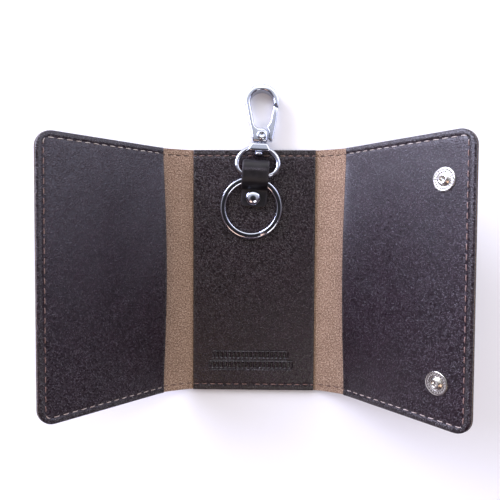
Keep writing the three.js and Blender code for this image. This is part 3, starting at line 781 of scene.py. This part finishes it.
def one_stitch(side, path, length, start, surface, face, jitter):
    """One stitch: a short twisted thread that comes up at one hole and goes down at the next."""
    around = 8
    steps = 9
    share = np.linspace(0, 1, steps)
    along = start + STITCH * share
    s = np.interp(along, length, path[:, 0])
    y = np.interp(along, length, path[:, 1])
    ds = np.gradient(s)
    dy = np.gradient(y)
    norm = np.hypot(ds, dy)
    side_s, side_y = -dy / norm, ds / norm
    arch, sunk = INNER_STITCH if face > 0 else OUTER_STITCH
    height = surface(s, y) + face * (arch * np.sin(math.pi * share) ** 0.45 - sunk)
    lean = jitter * (share - 0.5)
    angle = np.arange(around) * 2 * math.pi / around
    radius = THREAD * (1 + 0.16 * np.cos(2 * angle[None, :] + 1.5 * np.arange(steps)[:, None]))
    radius = radius * np.where((share == 0) | (share == 1), 0.55, 1.0)[:, None]
    across = radius * np.cos(angle) + lean[:, None]
    rise = radius * np.sin(angle)
    rings = side.fold(s[:, None] + across * side_s[:, None], y[:, None] + across * side_y[:, None],
                      height[:, None] + rise)
    return ring_solid(rings)


def inner_surface(side):
    """Height of the sewn surface on the inside: lining, then suede over the spine, then lining."""

    def height(s, y):
        lined = (s < CENTRE_EDGE) | (s > side.mouth)
        depth = np.where(lined, LINED_GROOVE, COVER_GROOVE)
        return np.where(lined, LINING_TOP, 0.0) - seam_groove(s, y, side.end, depth)

    return height


def outer_surface(side):
    def height(s, y):
        return -COVER + seam_groove(s, y, side.end, BACK_GROOVE)

    return height


def thread_piece(name, stitches, material, *seams):
    """One object for a run of stitches, and the CAD seams that it stands for."""
    points = []
    faces = []
    offset = 0
    for made, quads in stitches:
        points.append(made)
        faces += [[i + offset for i in face] for face in quads]
        offset += len(made)
    piece = new_object(name, np.concatenate(points), faces, [material], sharp=60)
    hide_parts(*seams)
    return piece


def sew(side):
    """All stitches of one side, inside and outside, sorted by the piece of leather they hold."""
    path, length = seam_path(side)
    middle = (side.s1 + side.s2) / 2
    runs = {}
    starts = np.arange((PITCH - STITCH) / 2, length[-1] - STITCH, PITCH)
    for face, surface, label in ((1, inner_surface(side), "in"), (-1, outer_surface(side), "out")):
        for start in starts:
            at = np.interp(start + STITCH / 2, length, path[:, 0])
            near, far = (CENTRE_EDGE, side.mouth) if face > 0 else (side.s1 - SLEEVE, side.s2 + SLEEVE)
            if at < near:
                zone = "centre"
            elif at < middle:
                zone = "inner"
            elif at < far:
                zone = "outer"
            else:
                zone = "wing"
            shift = PITCH / 2 if face < 0 else 0.0
            jitter = rng.uniform(-0.16, 0.16)
            begin = min(start + shift, length[-1] - STITCH)
            stitch = one_stitch(side, path, length, begin, surface, face, jitter)
            runs.setdefault((zone, label), []).append(stitch)
    return runs


def add_seams():
    runs = {name: sew(side) for name, side in SIDES.items()}
    for label in ("in", "out"):
        stitches = [s for name in SIDES for s in runs[name]["centre", label]]
        # painted shade: the centre's stitches take the dimmer copy of the thread
        piece = thread_piece("centre_thread_" + label, stitches, BROWN_THREAD,
                             "centre_seam_top", "centre_seam_bottom")
        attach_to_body(piece, "centre_panel")
    for name, side in SIDES.items():
        spine, wing = name + "_spine_fold", name + "_wing"
        spine_seams = (name + "_spine_seam_top", name + "_spine_seam_bottom")
        for label in ("in", "out"):
            # painted shade: the stitches over the suede inside take the darkest copy of the thread
            tone = SHADED_THREAD if label == "in" else PALE_THREAD
            for zone, bodies, crease in (
                ("inner", ("centre_panel", spine), "spine"),
                ("outer", (spine, wing), "wing"),
            ):
                stitches = runs[name][zone, label]
                piece = thread_piece(f"{name}_{zone}_thread_{label}", stitches, tone, *spine_seams)
                side.crease_range(crease)
                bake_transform(piece)
            piece = thread_piece(f"{name}_wing_thread_{label}", runs[name]["wing", label], PALE_THREAD,
                                 name + "_wing_seam")
            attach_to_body(piece, wing)


# ---- places of the fittings


def place_matrix(origin, x_axis, y_axis, z_axis):
    columns = np.stack([x_axis, y_axis, z_axis, origin], -1)
    return Matrix([*columns.tolist(), (0, 0, 0, 1)])


ACROSS = -joint_value("d_ring_swing", "axis")           # along the D-ring's bar, towards +X
STRAP_UP = np.array([0.0, 0.0, 1.0])
STRAP_ALONG = np.cross(STRAP_UP, ACROSS)
RIVET = joint_place("strap_swivel") * np.array([1, 1, 0])
HOOK_ALONG = joint_value("hook_swivel", "axis")
HOOK_UP = np.cross(ACROSS, HOOK_ALONG)
STRAP = place_matrix(RIVET, ACROSS, STRAP_ALONG, STRAP_UP)
DEE = place_matrix(joint_place("d_ring_swing"), ACROSS, HOOK_ALONG, HOOK_UP)
HOOK = place_matrix(joint_place("hook_swivel"), ACROSS, HOOK_ALONG, HOOK_UP)
RING_TOP = joint_place("ring_swing")


def turned_over(matrix):
    """The same place with its Z the other way, for what faces out of a wing's back."""
    return matrix @ Matrix.Rotation(math.pi, 4, "X")


def turned_up(matrix):
    """The same place with Z along the old Y, for what turns about the hook's own axis."""
    return matrix @ Matrix.Rotation(-math.pi / 2, 4, "X")


def wing_place(side, u, y, t):
    """A frame on a wing, u past its crease: X outwards along the wing, Z out of its inner face."""
    along = direction(2 * side.angle)
    origin = side.fold(side.s2 + u, y, t)
    x_axis = (side.sign * along[0], 0, along[1])
    z_axis = (-side.sign * along[1], 0, along[0])
    y_axis = np.cross(z_axis, x_axis)
    return place_matrix(origin, x_axis, y_axis, z_axis)


def wing_spot(side, node):
    """Where a fitting's middle sits on a wing: how far past the crease, and y."""
    low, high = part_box(node)
    middle = (low + high) / 2 / MM
    along = direction(2 * side.angle)
    u = float(np.dot([abs(middle.x) - side.second[0], middle.z - side.second[1]], along))
    return u, middle.y


# ---- key strap

STRAP_WIDE = 11.6
STRAP_SHIFT = 0.5                          # the strap's middle, right of the rivet
STRAP_THICK = 1.0
STRAP_LOW = COVER + LINING_TOP + 0.55      # middle of the lower leaf
STRAP_TAIL = -4.0                          # the strap's ends, past the rivet
STRAP_BEND = 0.60                          # share of its length at which it creases over the bar
STRAP_ROUND = 2.6                          # radius of the strap's rounded ends
LOOP_FAR = 16.2                            # from the rivet to the far side of the loop
LOOP_HIGH = 6.3                            # from the lower leaf's middle to the loop's roof's


def strap_line():
    """The folded strip's side view: from the lower leaf's end round the loop to the upper leaf's end."""
    radius = LOOP_HIGH / 2
    cy = LOOP_FAR - radius
    low = STRAP_LOW
    top = low + STRAP_THICK + 0.05
    knots = [(STRAP_TAIL, low), (0.0, low), (6.0, low), (cy, low)]
    knots += arc(cy, low + radius, radius, -75, 75, 10)
    roof = low + LOOP_HIGH
    knots += [(cy - 1.5, roof + 0.02), (8.6, roof - 0.25), (6.4, roof - 1.0), (5.0, low + 3.1)]
    knots += [(4.3, top + 0.55), (3.4, top + 0.08), (2.0, top), (0.0, top), (STRAP_TAIL, top)]
    knots = np.array(knots)
    chord = run_lengths(knots)
    fine = np.linspace(0, chord[-1], 150)
    line = np.stack([np.interp(fine, chord, knots[:, 0]), np.interp(fine, chord, knots[:, 1])], -1)
    for _ in range(6):
        line[1:-1] = (line[:-2] + 2 * line[1:-1] + line[2:]) / 4
    return line


def key_strap():
    line = strap_line()
    along = np.gradient(line, axis=0)
    along /= np.linalg.norm(along, axis=1, keepdims=True)
    normal = np.stack([along[:, 1], -along[:, 0]], -1)
    length = run_lengths(line)
    steps = np.array([0, 0.06, 0.16, 0.32, 0.6, 1.1])
    half = STRAP_WIDE / 2
    x_lines = np.concatenate([steps - half, np.linspace(-half + 1.8, half - 1.8, 9), (half - steps)[::-1]])
    x, a = np.meshgrid(x_lines, length, indexing="ij")
    end = np.minimum(a, length[-1] - a)
    taper = edge_drop(end, STRAP_ROUND)
    x = x * (1 - taper / half)
    edge = np.minimum(half - taper - np.abs(x), end)
    bulge = 0.12 * np.exp(-(((a - length[-1] * STRAP_BEND) / 1.1) ** 2)) * (1 - (x / half) ** 2)
    thick = STRAP_THICK / 2
    drop = edge_drop(edge, 0.45)
    bent = np.exp(-(((a - length[-1] * STRAP_BEND) / 0.6) ** 2)) * np.clip(edge / 1.5, 0, 1)
    surfaces = []
    for turn, extra in ((1, bulge), (-1, 0 * bulge)):
        t = turn * (thick - drop) + extra
        ys = line[:, 0] + normal[:, 0] * t
        zs = line[:, 1] + normal[:, 1] * t
        surfaces.append(place_points(np.stack([x + STRAP_SHIFT, ys, zs], -1), STRAP))
    looks = [STRAP_BLACK, SUEDE, EDGE]
    flat = flat_places(1, x, a)
    piece = sheet_solid("key_strap_leather", *surfaces, looks, flat, (0, 100.0, 0), edge, bent)
    attach(piece, "strap", "key_strap")


def rivet_dome():
    base = STRAP_LOW + 1.5 * STRAP_THICK + 0.07
    dome = [(3.3 * math.sin(a), base + 0.42 + 1.38 * math.cos(a)) for a in np.radians(np.linspace(0, 84, 14))]
    foot = [(3.34, 0.42), (3.36, 0.2), (3.2, 0.02), (0.9, 0.02), (0, 0.02)]
    profile = [*dome, *[(r, base + h) for r, h in foot]]
    piece = lathe("strap_rivet_dome", profile, STRAP, CHROME)
    attach(piece, "strap", "strap_rivet_cap")


# ---- split ring

RING_OUT = 13.7            # radii of the ring
RING_IN = 11.2
RING_THICK = 1.9           # both turns together
RING_START = -68           # where its wire ends, in degrees


def split_ring():
    """Two turns of flat wire, one on the other, that change places over a short step."""
    low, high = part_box("split_ring")
    centre = (np.array(low) + np.array(high)) / 2 / MM
    outwards = RING_TOP - centre
    y_axis = outwards / np.linalg.norm(outwards)
    z_axis = np.cross(ACROSS, y_axis)
    y_axis = np.cross(z_axis, ACROSS)
    place = place_matrix(centre, ACROSS, y_axis, z_axis)
    radius = (RING_OUT + RING_IN) / 2
    wire = RING_THICK / 2
    turns = np.linspace(0, 4 * math.pi, 385)
    start = math.radians(RING_START)
    share = np.clip((turns - 1.9 * math.pi) / (0.2 * math.pi), 0, 1)
    climb = (share * share * (3 - 2 * share) - 0.5) * (wire + 0.02)
    path = np.stack([radius * np.cos(turns + start), radius * np.sin(turns + start), climb], -1)
    flat_oval = circle(1, 28)
    flat_oval = np.sign(flat_oval) * np.abs(flat_oval) ** 0.78
    section = flat_oval * np.array([(RING_OUT - RING_IN) / 2, wire / 2 - 0.01])
    piece = wire_piece("split_ring_wire", path, section, place, CHROME)
    attach(piece, "key_ring", "split_ring")


# ---- swivel D-ring and hook

DEE_WIDE = 9.0             # half the D-ring's width, in the middle of its wire
DEE_ARCH = 7.45            # height of its arch above the shoulders
DEE_CORNER = 4.6           # how far in the bar's rounded ends reach
DEE_SHOULDER = 4.8         # from the bar to the shoulders
DEE_SHIFT = -0.28          # the wire's middle, along the bar from the hook's line
DEE_WIRE = 1.07            # radius of the wire
BOSS_LOW = 10.15           # the boss, from the bar
BOSS_HIGH = 13.9
BOSS_THICK = 3.3
HOOK_BASE = 14.05          # the hook's lower end, from the bar


def d_ring():
    inset = DEE_WIDE - DEE_CORNER

    def oval(cx, rx, ry, start, end, steps):
        turned = arc(0, 0, 1, start, end, steps)
        return [(DEE_SHIFT + cx + rx * x, DEE_SHOULDER + ry * y) for x, y in turned]

    outline = [
        *oval(inset, DEE_CORNER, DEE_SHOULDER, -90, 0, 16),
        *oval(0, DEE_WIDE, DEE_ARCH, 0, 180, 48)[1:],
        *oval(-inset, DEE_CORNER, DEE_SHOULDER, 180, 270, 16)[1:],
        *[(DEE_SHIFT + x, 0.0) for x in np.linspace(-inset, inset, 12)[1:-1]],
    ]
    path = np.array([(x, y, 0.0) for x, y in outline])
    wire = wire_piece("d_ring_wire", path, circle(DEE_WIRE, 20), DEE, CHROME, closed=True)
    attach(wire, "d_ring", "swivel_d_ring")
    flank = [(2.2, 0.0), (3.9, 0.05), (4.9, 0.3), (5.0, 0.9), (4.4, 2.0), (3.75, 3.1)]
    flank.append((3.5, BOSS_HIGH - BOSS_LOW))
    saddle = [(x, BOSS_LOW + y) for x, y in flank] + [(-x, BOSS_LOW + y) for x, y in reversed(flank)]
    boss = plate("swivel_boss", saddle, BOSS_THICK, 0.8, DEE)
    attach(boss, "d_ring")


HOOK_THICK = 4.4
EYE = 18.1                 # middle of the opening's round end
CROWN = 18.8               # middle of the hook's round outer end
OUTER = 7.5                # radii of the two
INNER = 5.15
NOSE_LOW = 16.2            # the nose's end face runs between these
NOSE_HIGH = 17.4
GATE = (0.8, 3.2)          # the gate's pin, across and along the hook
COIL_WIRE = 0.16           # the gate spring's wire
COIL = 1.3                 # and its coil's radius


def hook_frame():
    """The hook's flat body: base, back arm, crown and nose, with the slot that the gate turns in."""
    outline = [
        (-2.6, 0.3), (2.9, 0.3), (3.25, 0.6), (3.4, 1.4), (3.4, 4.2), (2.7, 5.5), (1.9, 6.25), (1.0, 6.55),
        (-0.9, 6.5), (-1.7, 6.8), (-2.3, 7.4), (-2.8, 8.4), (-3.5, 11.3), (-4.35, 14.8),
        *arc(0, EYE, INNER, 178, 0, 30),
        (5.05, NOSE_HIGH), (6.2, (NOSE_LOW + NOSE_HIGH) / 2), (7.3, NOSE_LOW), (7.45, 17.2),
        *arc(0, CROWN, OUTER, 0, 182, 36),
        (-7.0, 16.6), (-6.1, 13.0), (-4.9, 8.2), (-4.2, 5.6), (-3.5, 2.6), (-3.1, 0.8),
    ]
    body = plate("hook_frame", outline, HOOK_THICK, 0.85, HOOK, steps=6)
    slot = link_object("slot_cutter", slot_mesh())
    cut = body.modifiers.new("slot", "BOOLEAN")
    cut.operation = "DIFFERENCE"
    cut.object = slot
    cut.solver = "EXACT"
    graph = bpy.context.evaluated_depsgraph_get()
    result = bpy.data.meshes.new_from_object(body.evaluated_get(graph))
    body.modifiers.clear()
    body.data = result
    bpy.data.objects.remove(slot)
    result.set_sharp_from_angle(angle=math.radians(PLATE_SHARP))
    attach(body, "hook", "hook_body")


def slot_mesh():
    """The space that the gate's web swings in, inside the hook's base."""
    x, v = GATE
    outline = [(x - 2.3, v - 0.6), (x - 1.2, v - 2.3), (9.0, v - 2.4), (9.0, 14.0)]
    outline += [(x - 0.9, 14.0), (x - 1.9, v + 1.4)]
    points = [(px, py, pz) for pz in (-1.35, 1.35) for px, py in outline]
    count = len(outline)
    faces = [tuple(range(count))[::-1], tuple(range(count, 2 * count))]
    faces += [(i, (i + 1) % count, (i + 1) % count + count, i + count) for i in range(count)]
    mesh = bpy.data.meshes.new("slot_space")
    mesh.from_pydata((place_points(points, HOOK) * MM).tolist(), [], faces)
    return mesh


def swivel_shank():
    """The hook's shank through the boss, peened over inside the D-ring."""
    boss = BOSS_LOW - HOOK_BASE
    head = [(0, 1.9), (0.9, 1.85), (1.5, 1.62), (1.85, 1.25)]
    head += [(1.95, 0.85), (1.8, 0.5), (1.4, 0.32), (1.05, 0.28)]
    profile = [*[(r, boss - depth) for r, depth in head], (1.05, 0.6), (0, 0.6)]
    piece = lathe("swivel_shank", profile, turned_up(HOOK), CHROME, segments=40)
    attach(piece, "hook")
    rim = [(1.08, 0.30), (2.0, 0.30), (2.15, 0.18), (2.0, 0.04), (1.08, 0.04), (1.08, 0.30)]
    washer = [(r, boss - depth) for r, depth in rim]
    disc = lathe("swivel_washer", washer, turned_up(HOOK), CHROME, segments=40)
    attach(disc, "hook")


def gate_parts():
    x, v = GATE
    arm = [(3.85, 1.55), (4.6, 1.2), (5.45, 1.15), (5.75, 2.0), (6.2, 4.4), (6.55, 7.0), (6.9, 10.0)]
    arm += [(7.15, 13.0), (7.3, 15.8), (6.2, 16.38), (5.05, 17.0)]
    arm += [(4.75, 14.0), (4.1, 9.6), (3.3, 8.0), (2.6, 6.9), (3.8, 5.0)]
    lever = plate("gate_arm", arm, 4.0, 0.75, HOOK, steps=6)
    web = [(1.6, 1.7), (4.6, 2.2), (5.2, 8.0), (4.4, 9.0), (2.5, 6.4), (-0.4, 4.4),
           *arc(x, v, 1.95, 150, 300, 12)]
    ear = plate("gate_web", web, 1.6, 0.2, HOOK @ Matrix.Translation((0, 0, 0.35)))
    for piece in (lever, ear):
        attach(piece, "gate", "gate_lever")
    face = HOOK_THICK / 2 + 0.03
    place = HOOK @ Matrix.Translation((x, v, 0))
    head = [(0, 0.12), (0.45, 0.12), (0.75, 0.28), (1.1, 0.42), (1.5, 0.42)]
    head += [(1.85, 0.30), (2.08, 0.12), (2.1, 0.0)]
    upper = [(r, face + h) for r, h in head]
    profile = [*upper, (0.85, face), (0.85, -face), *[(r, -z) for r, z in reversed(upper)]]
    pin = lathe("gate_rivet", profile, place, CHROME, segments=48)
    attach(pin, "hook", "gate_pin")
    turns = np.linspace(0, 3.6 * math.pi, 110)
    coil = np.stack([COIL * np.cos(turns), COIL * np.sin(turns), -1.15 + 0.62 * turns / turns[-1]], -1)
    leg = np.linspace(0, 1, 8)[1:, None] * np.array([1.6, 2.2, 0.0])
    path = np.concatenate([coil, coil[-1] + leg])
    spring = wire_piece("gate_coil", path, circle(COIL_WIRE, 8), place, STEEL)
    attach(spring, "hook", "gate_spring")


# ---- press studs

SOCKET_WIRE = 0.24         # the wire of a socket's ring spring
SOCKET_RING = 2.42         # and the ring's radius


def dimples(ring, size, count, depth):
    """Small plain dimples round a flange."""

    def dent(r, angle, z):
        pitch = 2 * math.pi / count
        offset = (angle / pitch - np.round(angle / pitch)) * pitch * ring
        away = np.hypot(offset, r - ring)
        return -depth * np.clip(1 - (away / size) ** 2, 0, 1) * (z > 0)

    return dent


def stud_profile():
    rise = [(4.4, 0.02), (4.46, 0.2), (4.36, 0.42), (4.15, 0.52)]
    flange = [(r, 0.50) for r in (3.95, 3.8, 3.65, 3.5, 3.35, 3.2, 3.05, 2.9)]
    collar = [(2.7, 0.44), (2.55, 0.40), (2.35, 0.46), (2.1, 0.62), (1.82, 0.78), (1.75, 1.0)]
    bulb = [(1.85, 1.15), (1.98, 1.3), (1.96, 1.44), (1.8, 1.58), (1.5, 1.65)]
    bulb += [(1.2, 1.63), (1.02, 1.52), (0.95, 1.3)]
    hollow = [(0.9, 0.9), (0.75, 0.7), (0, 0.66)]
    return [(0, 0.02), *rise, *flange, *collar, *bulb, *hollow]


def socket_profile():
    base = [(1.7, 0.04), (4.45, 0.04), (4.52, 0.25), (4.4, 0.42), (4.1, 0.48)]
    cup = [(3.72, 0.44), (3.5, 0.6), (3.38, 1.3), (3.3, 1.7), (3.05, 1.88), (2.7, 1.9), (2.4, 1.85)]
    inside = [(2.22, 1.65), (2.3, 1.45), (2.72, 1.3), (2.72, 0.75), (2.3, 0.6), (2.1, 0.5), (1.7, 0.46)]
    return [*base, *cup, *inside, base[0]]


def eyelet_profile():
    """The tube through the leather, with its rolled top."""
    tube = [(0.9, -0.9), (1.42, -0.9), (1.42, 0.5)]
    roll = [(1.65, 0.51), (1.95, 0.54), (1.98, 0.62), (1.7, 0.7), (1.25, 0.68), (0.98, 0.58), (0.9, 0.4)]
    return [*tube, *roll, tube[0]]


def press_studs():
    right, left = SIDES["right"], SIDES["left"]
    dome = [(5.2 * math.sin(a), 0.55 + 1.35 * math.cos(a)) for a in np.radians(np.linspace(0, 86, 12))]
    dome += [(5.22, 0.5), (5.25, 0.28), (5.1, 0.06), (0, 0.06)]
    turn = np.radians(np.linspace(14, 346, 60))
    wire = np.stack([SOCKET_RING * np.cos(turn), SOCKET_RING * np.sin(turn), 1.02 + 0 * turn], -1)
    for row in ("upper", "lower"):
        u, y = wing_spot(right, row + "_snap_stud")
        front = wing_place(right, u, y, LINING_TOP + 0.03)
        back = turned_over(wing_place(right, u, y, -COVER))
        out = turned_over(wing_place(left, *wing_spot(left, row + "_snap_socket"), -COVER))
        stud = lathe(row + "_stud_turned", stud_profile(), front, NICKEL, 120, dimples(3.42, 0.34, 22, 0.1))
        cap = lathe(row + "_stud_dome", dome, back, NICKEL, 72)
        socket = lathe(row + "_socket_turned", socket_profile(), out, NICKEL, 72)
        spring = wire_piece(row + "_socket_wire", wire, circle(SOCKET_WIRE, 10), out, STEEL)
        eyelet = lathe(row + "_eyelet_turned", eyelet_profile(), out, NICKEL, 48)
        attach(stud, "right_wing", row + "_snap_stud")
        attach(cap, "right_wing", row + "_snap_cap")
        attach(socket, "left_wing", row + "_snap_socket")
        attach(spring, "left_wing", row + "_socket_spring")
        attach(eyelet, "left_wing", row + "_socket_eyelet")


# ---- stage


LENS = 35.54
CAMERA_PLACE = (2.08, 17.34, 220.93)       # in millimetres, the last from the linings' faces up
CAMERA_TURN = (-2.057, 0.992, 0.326)       # degrees about X, Y and Z, from looking straight down


def camera():
    """Straight above the case, a little towards the hook's end, as a product shot of it is taken."""
    data = bpy.data.cameras.new("camera")
    data.lens = LENS
    data.sensor_width = 36.0
    data.clip_end = 10.0
    eye = link_object("camera", data)
    x, y, z = CAMERA_PLACE
    place = Matrix.Translation(Vector((x, y, COVER + LINING_TOP + z)) * MM)
    for angle, axis in zip(CAMERA_TURN, "XYZ"):
        place = place @ Matrix.Rotation(math.radians(angle), 4, axis)
    eye.matrix_world = place
    bpy.context.scene.camera = eye


def area_light(name, place, target, size, power, tint):
    data = bpy.data.lights.new(name, "AREA")
    data.shape = "RECTANGLE"
    data.size, data.size_y = size
    data.energy = power
    data.color = tint
    light = link_object(name, data)
    light.location = place
    aim = Vector(target) - Vector(place)
    light.rotation_mode = "QUATERNION"
    light.rotation_quaternion = aim.to_track_quat("-Z", "Y")


def stage():
    mesh = bpy.data.meshes.new("floor")
    reach = 3.0
    corners = [(-reach, -reach, 0), (reach, -reach, 0), (reach, reach, 0), (-reach, reach, 0)]
    mesh.from_pydata(corners, [], [(0, 1, 2, 3)])
    floor_shader = Shader("floor", Specular_IOR_Level=0.2)
    place = floor_shader.node("TexCoord").outputs["Object"]
    tone = floor_shader.noise(place, 3.0, 2.0)
    base = floor_shader.mix(tone, (0.94, 0.94, 0.94, 1), (0.97, 0.97, 0.97, 1))
    mesh.materials.append(floor_shader.set(Base_Color=base, Roughness=0.8))
    floor = link_object("floor", mesh)
    floor.location.z = min(0.0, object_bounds()[0].z) - 0.00002
    floor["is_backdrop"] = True
    studio()


TENT = ((0.0, 0.85), (0.40, 0.95), (0.50, 0.04), (0.62, 0.04), (0.70, 1.0), (0.91, 1.0), (0.96, 0.08))
FRONT_SHADE = (0.26, 0.20, 0.21, 1)        # what the tent's front is dimmed to
WHITE = (1, 1, 1, 1)
COOL = (0.74, 0.75, 1.0)
LAMPS = {                                  # place, target, size, power and tint
    "back": ((0.0, 1.25, 0.95), (0, 0, 0), (3.0, 1.2), 19.0, (1.0, 0.98, 0.98)),
    "back_left": ((-1.05, 0.72, 0.45), (0, 0, 0.02), (1.0, 0.7), 36.0, COOL),
    "back_right": ((1.05, 0.50, 0.45), (0, 0, 0.02), (1.1, 0.7), 7.0, COOL),
    "front_left": ((-0.34, -0.5, 1.0), (0, 0, 0), (0.35, 0.35), 1.0, (1.0, 0.68, 0.5)),
    "front_right": ((0.30, -0.45, 1.0), (0, 0, 0), (0.35, 0.35), 1.7, (1.0, 0.96, 0.93)),
}


def studio():
    """A tent of soft light, dark straight overhead where the camera hangs, with a few larger lamps.
    TENT gives its brightness from the horizon, 0, to overhead, 1."""
    world = bpy.data.worlds.new("studio")
    world.use_nodes = True
    tent = Nodes(world.node_tree)
    split = tent.node("SeparateXYZ", {0: tent.node("TexCoord").outputs["Generated"]})
    ramp = tent.node("ValToRGB", {0: split.outputs["Z"]})
    for k, (place_up, light) in enumerate(TENT):
        stop = ramp.color_ramp.elements[k] if k < 2 else ramp.color_ramp.elements.new(place_up)
        stop.position = place_up
        warm = min(place_up, 0.8) / 0.8
        stop.color = (light * (0.80 + 0.10 * warm), light * (0.77 + 0.14 * warm), light, 1)
    front = tent.node("MapRange", {"Value": split.outputs["Y"], "From Min": -0.2, "From Max": 0.3})
    shade = tent.mix(front.outputs["Result"], FRONT_SHADE, WHITE)
    dimmed = tent.node("Mix", {0: 1.0}, data_type="RGBA", blend_type="MULTIPLY")
    tent.feed(dimmed.inputs[6], ramp.outputs[0])
    tent.feed(dimmed.inputs[7], shade)
    tent.feed(tent.tree.nodes["Background"].inputs["Color"], dimmed.outputs[2])
    bpy.context.scene.world = world
    bpy.context.scene.view_settings.view_transform = "Standard"
    for name, lamp in LAMPS.items():
        area_light(name, *lamp)


# ---- assembly

camera()
centre_cover()
centre_lining()
for one in SIDES.values():
    side_cover(one)
    wing_lining(one)
add_seams()
key_strap()
rivet_dome()
split_ring()
d_ring()
hook_frame()
swivel_shank()
gate_parts()
press_studs()

rivet_post = frame["nodes"]["strap_rivet_post"].data.materials
rivet_post.clear()
rivet_post.append(NICKEL)
stage()
